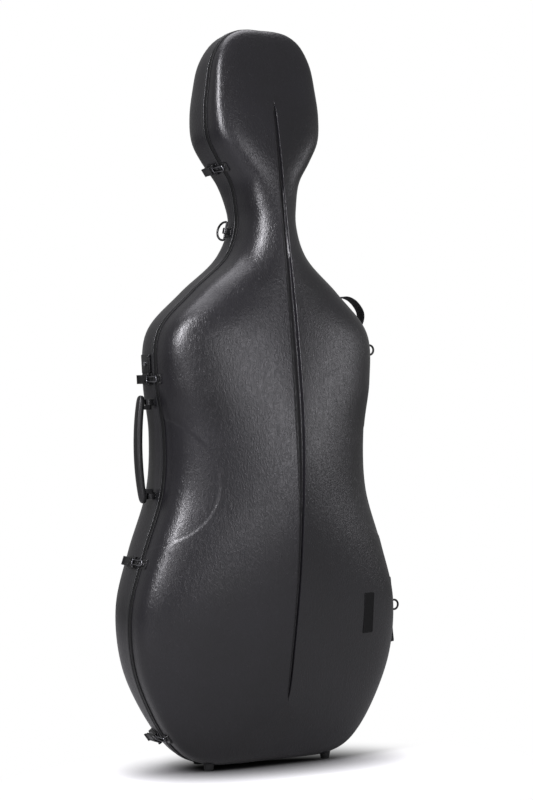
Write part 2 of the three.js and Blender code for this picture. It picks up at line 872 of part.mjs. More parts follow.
// The latch's plate with its ears, pin stubs and, in the shoulder latch, the lock's block.
function latchPlate(group, hasLock) {
  const halfWidth = latchHalfWidth;
  let slab = solidOf(block([-halfWidth, liningEdge, -overrun], [halfWidth, latchPlateEnd, latchPlateTop]));
  if (hasLock) {
    const blockLow = [halfWidth - latchEarThickness, lockBlockFront, -overrun];
    slab = slab.add(solidOf(block(blockLow, [halfWidth + lockBlockLength, lockBlockEnd, lockBlockTop])));
  }
  let plate = seatedOn(group, slab, baseGround);
  const ear = [
    [latchPinBack + latchEarRadius, latchPlateTop - latchEarThickness],
    [latchPinBack + latchEarRadius, latchPinOut],
    [latchPinBack, latchPinOut + latchEarRadius],
    [latchPinBack - latchEarRadius, latchPinOut],
    [latchPinBack - latchEarRadius, latchPlateTop - latchEarThickness],
  ];
  const earInner = halfWidth - latchEarThickness;
  plate = plate.add(pairAcross(earInner, halfWidth, (a, b) => profileAlongX(ear, a, b)));
  const stubInner = latchCheekOuter - latchCheekThickness;
  const stub = (a, b) => rodAlongX(latchPinRadius, a, b, boreSides, latchPinBack, latchPinOut);
  plate = plate.add(pairAcross(stubInner, halfWidth - latchEarThickness / 2, stub));
  if (!hasLock) return geometryOf(plate);
  const seatRadius = lockRadius + seatGap;
  const seat = new THREE.CylinderGeometry(seatRadius, seatRadius, overrun, 2 * boreSides);
  seat.rotateX(Math.PI / 2).translate(lockAlong, lockBack, lockBlockTop - lockSeatDepth + overrun / 2);
  return geometryOf(plate.subtract(solidOf(seat)));
}

// The lever: a channel with two cheeks that turn on the stubs, and a lifted lip.
function latchLever() {
  const bottom = latchPinOut - latchCheekRadius;
  const cheek = nosedOutline(
    latchPinBack, latchPinOut, latchCheekRadius, latchLeverEnd, bottom + latchLeverSkin, latchLeverTop,
  );
  const inner = latchCheekOuter - latchCheekThickness;
  let lever = pairAcross(inner, latchCheekOuter, (a, b) => profileAlongX(cheek, a, b));
  const under = latchLeverTop - latchLeverSkin;
  const lipEnd = latchLeverEnd + latchLipLength;
  const skin = [
    [latchLeverFront, under],
    [latchLeverEnd, under],
    [lipEnd, under + latchLipRise],
    [lipEnd, latchLeverTop + latchLipRise],
    [latchLeverEnd, latchLeverTop],
    [latchLeverFront, latchLeverTop],
  ];
  lever = lever.add(solidOf(profileAlongX(skin, -latchCheekOuter, latchCheekOuter)));
  const wide = latchCheekOuter + overrun;
  const pinBore = rodAlongX(latchPinRadius + seatGap, -wide, wide, boreSides, latchPinBack, latchPinOut);
  const bailBore = rodAlongX(bailWireRadius + seatGap, -wide, wide, boreSides, bailBack, bailOut);
  return geometryOf(lever.subtract(solidOf(pinBore)).subtract(solidOf(bailBore)));
}

// The wire bail with its cross bar through the lever's cheeks.
function latchBail() {
  const [front, back, side, corner] = [bailFront, bailBack, bailHalfWidth, bailCorner];
  const path = [
    [side, front + corner],
    [side, back - corner],
    [side - corner, back],
    [-side + corner, back],
    [-side, back - corner],
    [-side, front + corner],
    [-side + corner, front],
    [side - corner, front],
  ];
  const reach = latchCheekOuter - latchCheekThickness / 4;
  const bar = rodAlongX(bailWireRadius, -reach, reach, boreSides, back, bailOut);
  return geometryOf(solidOf(wireLoop(path.reverse(), bailWireRadius, bailOut)).add(solidOf(bar)));
}

// The keeper on the lid, with a low lip under the bail's front bar.
function latchKeeper(group) {
  const slab = block([-keeperHalfWidth, -keeperEnd, -overrun], [keeperHalfWidth, -liningEdge, keeperTop]);
  const plate = seatedOn(group, solidOf(slab), lidGround);
  const lipTop = bailOut - bailWireRadius - runningGap;
  const lip = block(
    [-keeperLipHalfWidth, -keeperLipEnd, keeperTop - latchCheekThickness],
    [keeperLipHalfWidth, -keeperLipStart, lipTop],
  );
  return geometryOf(plate.add(solidOf(lip)));
}

// The lock's barrel with its key slot.
function lockBarrel() {
  const height = lockSeatDepth - seatGap + lockRise;
  const foot = lockBlockTop - lockSeatDepth + seatGap;
  const barrel = new THREE.CylinderGeometry(lockRadius, lockRadius, height, 2 * boreSides);
  barrel.rotateX(Math.PI / 2).translate(lockAlong, lockBack, foot + height / 2);
  const slot = block(
    [lockAlong - keySlotWidth / 2, lockBack - keySlotLength / 2, foot + height - keySlotDepth],
    [lockAlong + keySlotWidth / 2, lockBack + keySlotLength / 2, foot + height + overrun],
  );
  return geometryOf(solidOf(barrel).subtract(solidOf(slot)));
}

function addLatches() {
  latchHeightShares.forEach((share, i) => {
    const name = latchNames[i];
    const hasLock = name === "shoulder";
    const group = seatGroup(share * caseHeight, -1);
    addPiece(group, `latch_${name}_plate`, latchPlate(group, hasLock), blackMetalFinish());
    addPiece(group, `latch_${name}_lever`, latchLever(), blackMetalFinish());
    addPiece(group, `latch_${name}_bail`, latchBail(), brightMetalFinish());
    addPiece(group, `latch_${name}_keeper`, latchKeeper(group), blackMetalFinish());
    if (hasLock) addPiece(group, "lock_barrel", lockBarrel(), brightMetalFinish());
  });
}

// The grip with a lug and a pin near each end.
function handleGrip() {
  const path = Array.from({ length: gripSteps + 1 }, (_, i) => {
    const along = (2 * i) / gripSteps - 1;
    const out = handleGripOut + (handleEndOut - handleGripOut) * along ** 2;
    return [handleHalfLength * along, out];
  });
  const section = oblongSection(gripHalfThickness, gripHalfWidth, gripCorner);
  let grip = solidOf(stripAlong(path, section.map(([a, b]) => [a, b + handleBack])));
  const inner = bracketSpan - bracketHalfThickness - runningGap - 2 * lugHalfThickness;
  const outer = inner + 2 * lugHalfThickness;
  const lugTop = handleEndOut;
  const lug = nosedOutline(0, 0, lugRadius, lugTop - handlePivotOut, -lugRadius, lugRadius);
  const turned = lug.map(([a, b]) => [handleBack - b, handlePivotOut + a]);
  grip = grip.add(pairAcross(inner, outer, (a, b) => profileAlongX(turned, a, b)));
  const pinEnd = bracketSpan + bracketHalfThickness / 2;
  const pin = (a, b) => rodAlongX(lugPinRadius, a, b, boreSides, handleBack, handlePivotOut);
  return geometryOf(grip.add(pairAcross(outer - lugHalfThickness, pinEnd, pin)));
}

// One bracket that holds an end of the handle, with a blind bore for its pin.
function handleBracket(group, side) {
  const half = bracketHalfThickness;
  const radius = bracketNoseRadius;
  const nose = nosedOutline(0, 0, radius, handlePivotOut + overrun, -radius, radius);
  const outline = nose.map(([a, b]) => [handleBack + b, handlePivotOut - a]);
  const post = profileAlongX(outline, side * bracketSpan - half, side * bracketSpan + half);
  const mouth = side * (bracketSpan - half - overrun);
  const end = side * (bracketSpan + half / 2 + seatGap);
  const [from, to] = side > 0 ? [mouth, end] : [end, mouth];
  const bore = rodAlongX(lugPinRadius + seatGap, from, to, boreSides, handleBack, handlePivotOut);
  return geometryOf(seatedOn(group, solidOf(post).subtract(solidOf(bore)), baseGround));
}

function addHandle() {
  const group = seatGroup(handleHeight, -1);
  addPiece(group, "handle_grip", handleGrip(), plasticFinish());
  addPiece(group, "handle_bracket_upper", handleBracket(group, 1), blackMetalFinish());
  addPiece(group, "handle_bracket_lower", handleBracket(group, -1), blackMetalFinish());
}

// A ring: a straight bar along local X and a rounded loop that reaches out along local Y.
function strapRing(halfWidth, reach) {
  const shoulder = reach - halfWidth;
  const arc = Array.from({ length: noseSteps + 1 }, (_, i) => {
    const angle = (Math.PI * i) / noseSteps;
    return [halfWidth * Math.cos(angle), shoulder + halfWidth * Math.sin(angle)];
  });
  const corner = ringWireRadius;
  const path = [[-halfWidth, corner], [-halfWidth + corner, 0], [halfWidth - corner, 0], [halfWidth, corner]];
  return wireLoop(path.concat(arc), ringWireRadius, 0);
}

// The bracket of a ring: a plate on the base and a bored lug.
function ringBracket(group, lugHalfWidth) {
  const slab = block(
    [-ringPlateHalfLength, ringPlateFront, -overrun],
    [ringPlateHalfLength, ringPlateEnd, ringPlateTop],
  );
  const radius = ringLugRadius;
  const nose = nosedOutline(0, 0, radius, ringBarOut - ringPlateTop / 2, -radius, radius);
  const lugLine = nose.map(([a, b]) => [ringBack + b, ringBarOut - a]);
  const lug = profileAlongX(lugLine, -lugHalfWidth, lugHalfWidth);
  const boreEnd = lugHalfWidth + overrun;
  const bore = rodAlongX(ringWireRadius + runningGap, -boreEnd, boreEnd, boreSides, ringBack, ringBarOut);
  const bracket = solidOf(slab).add(solidOf(lug)).subtract(solidOf(bore));
  return geometryOf(seatedOn(group, bracket, baseGround));
}

// One ring with its bracket. The turn swings the ring from straight out towards the back.
function addRing(name, height, side, halfWidth, reach, turn) {
  const group = seatGroup(height, side);
  const lugHalfWidth = Math.min(ringLugHalfWidth, halfWidth - 2 * ringWireRadius);
  addPiece(group, `${name}_bracket`, ringBracket(group, lugHalfWidth), blackMetalFinish());
  const pivot = new THREE.Group();
  pivot.position.set(0, ringBack, ringBarOut);
  pivot.rotation.x = Math.PI / 2 + THREE.MathUtils.degToRad(turn);
  group.add(pivot);
  addPiece(pivot, name, strapRing(halfWidth, reach), blackMetalFinish());
}

function addRings() {
  addRing("neck_ring", neckRingHeight, -1, neckRingHalfWidth, neckRingReach, neckRingTurn);
  addRing("upper_side_ring", upperRingHeight, 1, ringHalfWidth, ringReach, 0);
  addRing("lower_side_ring", lowerRingHeight, 1, ringHalfWidth, ringReach, 0);
}

// The webbing grab loop and the plate that its ends are fixed to.
function addGrabStrap() {
  const group = seatGroup(strapHeight, 1);
  const section = [
    [strapThickness / 2, strapBack - strapHalfWidth],
    [strapThickness / 2, strapBack + strapHalfWidth],
    [-strapThickness / 2, strapBack + strapHalfWidth],
    [-strapThickness / 2, strapBack - strapHalfWidth],
  ];
  const foot = strapPlateTop + seatGap;
  const path = strapRouteShares.map(([along, out]) => [-along * strapHalfSpan, foot + out * strapReach]);
  addPiece(group, "grab_strap", stripAlong(path, section), webbingFinish());
  const slab = block(
    [-strapPlateHalfLength, ringPlateFront, -2 * overrun],
    [strapPlateHalfLength, strapBack + strapHalfWidth, strapPlateTop],
  );
  const plate = seatedOn(group, solidOf(slab), baseGround);
  addPiece(group, "grab_strap_plate", geometryOf(plate), blackMetalFinish());
}

// The soft fittings of the base, cut to the space that its lining leaves.
function addBaseFittings() {
  const cavity = formSolid(insideOf(baseForm), cavityInset, liningEdge);
  const deep = baseDepth;
  const rest = within(
    cavity,
    [-neckRestHalfWidth, fittingFront, neckRestHeight - neckRestHalfLength],
    [neckRestHalfWidth, deep, neckRestHeight + neckRestHalfLength],
  );
  const notch = new THREE.CylinderGeometry(neckNotchRadius, neckNotchRadius, caseHeight, neckNotchSides);
  notch.rotateX(Math.PI / 2).translate(0, fittingFront, neckRestHeight);
  addPiece(caseGroup, "neck_rest", geometryOf(rest.subtract(solidOf(notch))), plushFinish());
  const padCore = formSolid(insideOf(baseForm), cavityInset + sidePadThickness, liningEdge, overrun);
  const ring = cavity.subtract(padCore);
  for (const [name, from, to] of [["side_pad_left", -1, 0], ["side_pad_right", 0, 1]]) {
    const pad = within(
      ring,
      [from * lowerBoutHalfWidth, fittingFront, sidePadHeight - sidePadHalfLength],
      [to * lowerBoutHalfWidth, sidePadEnd, sidePadHeight + sidePadHalfLength],
    );
    addPiece(caseGroup, name, geometryOf(pad), plushFinish());
  }
  const blockLow = [-endBlockHalfWidth, fittingFront, 0];
  const endBlock = within(cavity, blockLow, [endBlockHalfWidth, endBlockEnd, endBlockTop]);
  addPiece(caseGroup, "end_block", geometryOf(endBlock), plushFinish());
  addPocket(cavity);
}

// The strap that closes over the neck rest, in the XY plane of the case.
function addNeckStrap() {
  const group = new THREE.Group();
  group.position.set(0, 0, neckRestHeight);
  group.rotation.x = Math.PI / 2;
  caseGroup.add(group);
  const half = neckStrapThickness / 2;
  const seat = seatGap + half - fittingFront;
  const rise = -neckStrapFront - seat;
  const path = neckStrapShares.map(([across, up]) => [-across * neckStrapSpan, seat + up * rise]);
  const mirrored = path.map(([x, z]) => [-x, z]).reverse();
  const wide = neckStrapHalfWidth;
  const section = [[half, -wide], [half, wide], [-half, wide], [-half, -wide]];
  addPiece(group, "neck_strap", stripAlong(path.concat(mirrored), section), webbingFinish());
}

// The accessory pocket beside the neck, open to the front, and the flap that closes it.
function addPocket(cavity) {
  const low = [pocketInner, fittingFront + pocketFlapThickness + seatGap, pocketLow];
  const high = [lowerBoutHalfWidth, baseDepth, pocketHigh];
  const hollow = formSolid(insideOf(baseForm), cavityInset + pocketWall, liningEdge, overrun);
  const hollowLow = [low[0] + pocketWall, 0, low[2] + pocketWall];
  const hollowHigh = [high[0], high[1], high[2] - pocketWall];
  const pocket = within(cavity, low, high).subtract(within(hollow, hollowLow, hollowHigh));
  addPiece(caseGroup, "pocket", geometryOf(pocket), plushFinish());
  const flapLow = [pocketInner, fittingFront, pocketLow];
  const flapHigh = [lowerBoutHalfWidth, fittingFront + pocketFlapThickness, pocketHigh];
  const flap = within(formSolid(insideOf(baseForm), cavityInset + seatGap, liningEdge), flapLow, flapHigh);
  addPiece(caseGroup, "pocket_flap", geometryOf(flap), plushFinish());
}

// One bow rest on the lid with a turn button that keeps the bow in its notch.
function addBowHolder(name, side) {
  const cavity = formSolid(insideOf(lidForm), cavityInset, liningEdge);
  const x = side * bowAcross;
  const rest = within(
    cavity,
    [x - bowRestHalfWidth, -lidShoulderDepth - ridgeRise, bowHeight - bowRestHalfLength],
    [x + bowRestHalfWidth, -bowRestFront, bowHeight + bowRestHalfLength],
  );
  const notchAcross = x - side * buttonHalfWidth;
  const notch = new THREE.CylinderGeometry(bowNotchRadius, bowNotchRadius, caseHeight, wireSides * 2);
  notch.rotateX(Math.PI / 2).translate(notchAcross, -bowRestFront, bowHeight);
  const pinAcross = x + side * buttonAcross;
  const boreRadius = buttonPinRadius + seatGap;
  const pinTurn = (radius, length) => new THREE.CylinderGeometry(radius, radius, length, boreSides);
  const bore = pinTurn(boreRadius, 2 * (buttonPinLength + seatGap));
  bore.translate(pinAcross, -bowRestFront, bowHeight);
  const body = rest.subtract(solidOf(notch)).subtract(solidOf(bore));
  addPiece(caseGroup, `bow_rest_${name}`, geometryOf(body), plushFinish());
  const foot = -bowRestFront + seatGap;
  const bar = block(
    [pinAcross - buttonHalfWidth, foot, bowHeight - buttonHalfWidth],
    [pinAcross + buttonHalfWidth, foot + buttonThickness, bowHeight + buttonHalfLength],
  );
  const pin = pinTurn(buttonPinRadius, buttonPinLength + seatGap);
  pin.translate(pinAcross, foot - (buttonPinLength - seatGap) / 2, bowHeight);
  addPiece(caseGroup, `bow_button_${name}`, geometryOf(solidOf(bar).add(solidOf(pin))), plasticFinish());
}

addShells();
addBadgePlate();
addRims();
addLinings();
addFeet();
addHinges();
addLatches();
addHandle();
addRings();
addGrabStrap();
addBaseFittings();
addNeckStrap();
addBowHolder("left", -1);
addBowHolder("right", 1);

// The case's own frame has its origin at the bottom centre of the whole object.
function centred(group) {
  const bounds = new THREE.Box3().setFromObject(group, true);
  const centre = bounds.getCenter(new THREE.Vector3());
  group.position.set(-centre.x, -centre.y, -bounds.min.z);
  const root = new THREE.Group();
  root.add(group);
  return root;
}

export default centred(caseGroup);
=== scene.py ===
import logging
from dataclasses import dataclass, replace
from enum import Enum, IntEnum
from typing import ClassVar, Sequence

import bmesh
import bpy
import numpy as np
from mathutils import Matrix, Vector


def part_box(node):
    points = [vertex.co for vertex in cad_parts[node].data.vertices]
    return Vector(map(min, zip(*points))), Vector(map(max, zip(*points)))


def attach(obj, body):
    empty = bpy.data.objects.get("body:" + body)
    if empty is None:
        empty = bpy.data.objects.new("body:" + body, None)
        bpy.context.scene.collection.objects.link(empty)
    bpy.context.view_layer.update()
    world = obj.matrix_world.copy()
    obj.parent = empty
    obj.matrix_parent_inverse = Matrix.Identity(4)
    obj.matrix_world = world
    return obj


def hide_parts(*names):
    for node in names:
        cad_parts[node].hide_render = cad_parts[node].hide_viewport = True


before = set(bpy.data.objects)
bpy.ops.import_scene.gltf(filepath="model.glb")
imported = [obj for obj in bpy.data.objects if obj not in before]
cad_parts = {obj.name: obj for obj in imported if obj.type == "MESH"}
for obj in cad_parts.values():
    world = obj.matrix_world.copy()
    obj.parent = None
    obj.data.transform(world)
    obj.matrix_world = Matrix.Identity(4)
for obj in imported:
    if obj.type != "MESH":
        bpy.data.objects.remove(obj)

Array, Socket, Tree = np.ndarray, bpy.types.NodeSocket, bpy.types.NodeTree
Pair = tuple[float, float]
Points = tuple[Pair, ...]

# A hard case for a cello. Sizes are in millimetres in the case's own frame: x across, y to the
# back from the parting plane, z up from the shell's bottom. Meshes are written in metres.
MM = 0.001
NOT_ZERO = 1e-6
BAND_EDGE_SHARE = 0.45
LOG = logging.getLogger("cello_case")

# The edge's right half, upwards: shares of half the width and of the height.
OUTLINE_SHARES = (
    (0, 0), (0.25, 0), (0.45, 0.002), (0.6, 0.012), (0.72, 0.033), (0.862, 0.078), (0.98, 0.14),
    (1, 0.215), (0.895, 0.29), (0.763, 0.37), (0.748, 0.45), (0.8, 0.52), (0.782, 0.585),
    (0.53, 0.64), (0.256, 0.69), (0.182, 0.73), (0.19, 0.76), (0.224, 0.79), (0.32, 0.82),
    (0.4, 0.85), (0.417, 0.885), (0.4, 0.92), (0.366, 0.957), (0.29, 0.984), (0.2, 0.996),
    (0.1, 1), (0, 1),
)
# Each shell's depth and the lid's ridge by height: shares of the height and of their most.
LID_DEPTH_SHARES = (
    (0, 0.73), (0.05, 0.76), (0.12, 0.83), (0.25, 0.97), (0.4, 0.99), (0.6, 0.99), (0.68, 0.94),
    (0.79, 0.85), (0.84, 0.78), (0.9, 0.64), (0.96, 0.47), (1, 0.36),
)
RIDGE_SHARES = ((0, 0.16), (0.15, 0.65), (0.4, 1), (0.65, 0.54), (0.8, 0.23), (1, 0))
BASE_DEPTH_SHARES = (
    (0, 0.34), (0.05, 0.56), (0.12, 0.82), (0.25, 1), (0.4, 0.92), (0.6, 0.75), (0.68, 0.52),
    (0.74, 0.36), (0.79, 0.57), (0.84, 0.76), (0.9, 0.76), (0.96, 0.64), (1, 0.43),
)
# The groove's width along it: shares of its length and of its most.
GROOVE_WIDTH_SHARES = (
    (0, 0), (0.015, 0.34), (0.08, 0.44), (0.3, 0.58), (0.45, 1), (0.6, 0.95), (0.83, 0.6),
    (0.96, 0.38), (0.985, 0.32), (1, 0),
)
# The lines of the grab strap and the neck strap: shares of half their span and of their rise.
STRAP_ROUTE_SHARES = (
    (1, 0), (1, 0.12), (0.92, 0.42), (0.7, 0.76), (0.32, 0.95), (-0.1, 1), (-0.53, 0.93),
    (-0.8, 0.71), (-0.94, 0.38), (-1, 0.12), (-1, 0),
)
NECK_STRAP_SHARES = (
    (-1, 0), (-0.88, 0), (-0.74, 0.5), (-0.6, 1), (-0.2, 1), (0.2, 1), (0.6, 1), (0.74, 0.5),
    (0.88, 0), (1, 0),
)


def smooth_step(share: Array) -> Array:
    """Eases a share from 0 to 1: three squares less two cubes, clipped at both ends."""
    t = np.clip(share, 0.0, 1.0)
    return t * t * (3.0 - 2.0 * t)


def table_value(shares: Sequence[Pair], at: Array) -> Array:
    """Smooth value of a table of [place, value] pairs: cubics whose slopes join neighbours.

    Args:
        shares: The table, with rising places.
        at: Where to read it.

    Returns:
        The value at each place.
    """
    place, value = np.array(shares, float).T
    last = len(place) - 1
    index = np.arange(last + 1)
    low, high = np.maximum(index - 1, 0), np.minimum(index + 1, last)
    slope = (value[high] - value[low]) / (place[high] - place[low])
    s = np.clip(at, place[0], place[-1])
    i = np.clip(np.searchsorted(place, s, side="right") - 1, 0, last - 1)
    span = place[i + 1] - place[i]
    t = (s - place[i]) / span
    a, b = value[i], value[i + 1]
    start, end = slope[i] * span, slope[i + 1] * span
    return a + start * t + (3 * (b - a) - 2 * start - end) * t**2 + (2 * (a - b) + start + end) * t**3


def through_points(points: Array, per_span: int) -> Array:
    """A smooth open curve through points: centripetal Catmull-Rom, each span a cubic.

    Args:
        points: The points, one row each.
        per_span: Steps between two points.

    Returns:
        The curve's points, the last point included.
    """
    ends = np.vstack([2 * points[0] - points[1], points, 2 * points[-1] - points[-2]])
    gap = np.maximum(np.linalg.norm(np.diff(ends, axis=0), axis=1), NOT_ZERO) ** 0.5
    p0, p1, p2, p3 = ends[:-3], ends[1:-2], ends[2:-1], ends[3:]
    d0, d1, d2 = (gap[k:len(gap) - 2 + k, None] for k in range(3))
    m1 = ((p1 - p0) / d0 - (p2 - p0) / (d0 + d1) + (p2 - p1) / d1) * d1
    m2 = ((p2 - p1) / d1 - (p3 - p1) / (d1 + d2) + (p3 - p2) / d2) * d1
    t = (np.arange(per_span) / per_span)[None, :, None]
    p1, p2, m1, m2 = (v[:, None, :] for v in (p1, p2, m1, m2))
    cubic = p1 + m1 * t + (3 * (p2 - p1) - 2 * m1 - m2) * t**2 + (2 * (p1 - p2) + m1 + m2) * t**3
    return np.vstack([cubic.reshape(-1, points.shape[1]), points[-1:]])


def rounded_oblong(half_a: float, half_b: float, corner: float, per_corner: int = 6) -> Array:
    """A closed oblong with round corners: four quarter circles joined by straight sides.

    Args:
        half_a: Half its size along the first axis.
        half_b: Half its size along the second axis.
        corner: Radius of its corners.
        per_corner: Steps in each corner.

    Returns:
        Its points, anticlockwise.
    """
    angle = np.linspace(0, np.pi / 2, per_corner + 1)[None, :] + np.arange(4)[:, None] * np.pi / 2
    sign = np.array([[1, 1], [-1, 1], [-1, -1], [1, -1]])
    middle = sign * (np.array([half_a, half_b]) - corner)
    bends = corner * np.stack([np.cos(angle), np.sin(angle)], axis=2)
    return (middle[:, None, :] + bends).reshape(-1, 2)


def arc(middle: Sequence[float], radius: float, start: float, end: float, count: int) -> Array:
    """Points on a circle: its middle plus its radius times the cosine and sine of the turn.

    Args:
        middle: The circle's middle.
        radius: Its radius.
        start: The first point's angle, in half turns.
        end: The last point's angle, in half turns.
        count: How many points there are.

    Returns:
        The points.
    """
    turn = np.linspace(start * np.pi, end * np.pi, count)
    return np.column_stack([middle[0] + radius * np.cos(turn), middle[1] + radius * np.sin(turn)])


def both_ways(near: float, far: float) -> list[Pair]:
    """A span along an edge and its mirror image, each with its lower end first."""
    return [(-far, -near), (near, far)]


class Direction(IntEnum):
    """A way along one of the case's axes."""

    @property
    def label(self) -> str:
        """Its name in the frame's nodes and bodies."""
        return self.name.lower()


class Side(Direction):
    """The case's left and right, as signs of x."""

    LEFT = -1
    RIGHT = 1


class Half(Direction):
    """The lid in front and the base behind, as signs of y."""

    LID = -1
    BASE = 1


class Axis(IntEnum):
    """A seat's axes."""

    ALONG = 0
    BACK = 1
    OUT = 2


@dataclass
class Outline:
    """The case's edge at the parting plane: a curve up its right half, mirrored on the left."""

    half_width: float
    height: float
    steps_per_span: int = 120

    def __post_init__(self) -> None:
        """Computes the curve, its outward normals and its length up to each point."""
        shares = np.array(OUTLINE_SHARES, float) * [self.half_width, self.height]
        self.half = through_points(shares, self.steps_per_span)
        tangent = np.gradient(self.half, axis=0)
        tangent /= np.linalg.norm(tangent, axis=1)[:, None]
        self.normal = np.stack([tangent[:, 1], -tangent[:, 0]], axis=1)
        self.normal[[0, -1]] = [[0, -1], [0, 1]]
        step = np.linalg.norm(np.diff(self.half, axis=0), axis=1)
        self.length = np.concatenate([[0], np.cumsum(step)])

    def width_at(self, height: Array) -> Array:
        """Half the width at each height."""
        return np.interp(height, self.half[:, 1], self.half[:, 0])

    def at(self, height: float, side: Side) -> tuple[Array, Array]:
        """One place on the edge.

        Args:
            height: Its height.
            side: The side that it is on.

        Returns:
            The place and its outward normal.
        """
        read = [np.interp(height, self.half[:, 1], v) for v in (*self.half.T, *self.normal.T)]
        flip = np.array([side, 1])
        normal = np.array(read[2:]) * flip
        return np.array(read[:2]) * flip, normal / np.linalg.norm(normal)

    def loop(self, spacing: float, fine: float = 0, low: float = 0, high: float = 0) -> tuple:
        """Stations round the whole outline, closer together between two heights.

        Args:
            spacing: Distance between stations.
            fine: Distance between them where they lie closer, or 0.
            low: Where the closer ones begin.
            high: Where they end.

        Returns:
            Points and outward normals, up the right side and down the left.
        """
        inside = (self.half[:, 1] > low) & (self.half[:, 1] < high)
        density = np.where(inside & (fine > 0), 1 / max(fine, NOT_ZERO), 1 / spacing)
        total = np.concatenate([[0], np.cumsum(np.diff(self.length) * density[1:])])
        wanted = np.linspace(0, total[-1], int(np.ceil(total[-1])) + 1)
        right = [np.interp(wanted, total, v) for v in (*self.half.T, *self.normal.T)]
        points, normals = np.stack(right[:2], 1), np.stack(right[2:], 1)
        normals /= np.linalg.norm(normals, axis=1)[:, None]
        return self.both_sides(points), self.both_sides(normals)

    @staticmethod
    def both_sides(rows: Array) -> Array:
        """Rows up the right side, then their mirror images down the left one."""
        return np.vstack([rows, rows[-2:0:-1] * [-1, 1]])


@dataclass(frozen=True)
class ShellForm:
    """How one shell bulges: its depth and ridge, and how square its shoulder is."""

    half: Half
    depth: float
    ridge: float
    squareness: float
    depth_shares: tuple
    grooved: bool

    def rise(self, reach: Array) -> Array:
        """Share of the depth at each reach: a quarter of a superellipse."""
        return (1 - (1 - reach) ** self.squareness) ** (1 / self.squareness)

    def reach_at(self, rise: Array) -> Array:
        """The reach at each share of the depth: the same superellipse, read the other way."""
        return 1 - (1 - rise**self.squareness) ** (1 / self.squareness)

    def full_depth(self, share: Array) -> Array:
        """The depth before the ridge at each share of the height."""
        return table_value(self.depth_shares, share) * self.depth


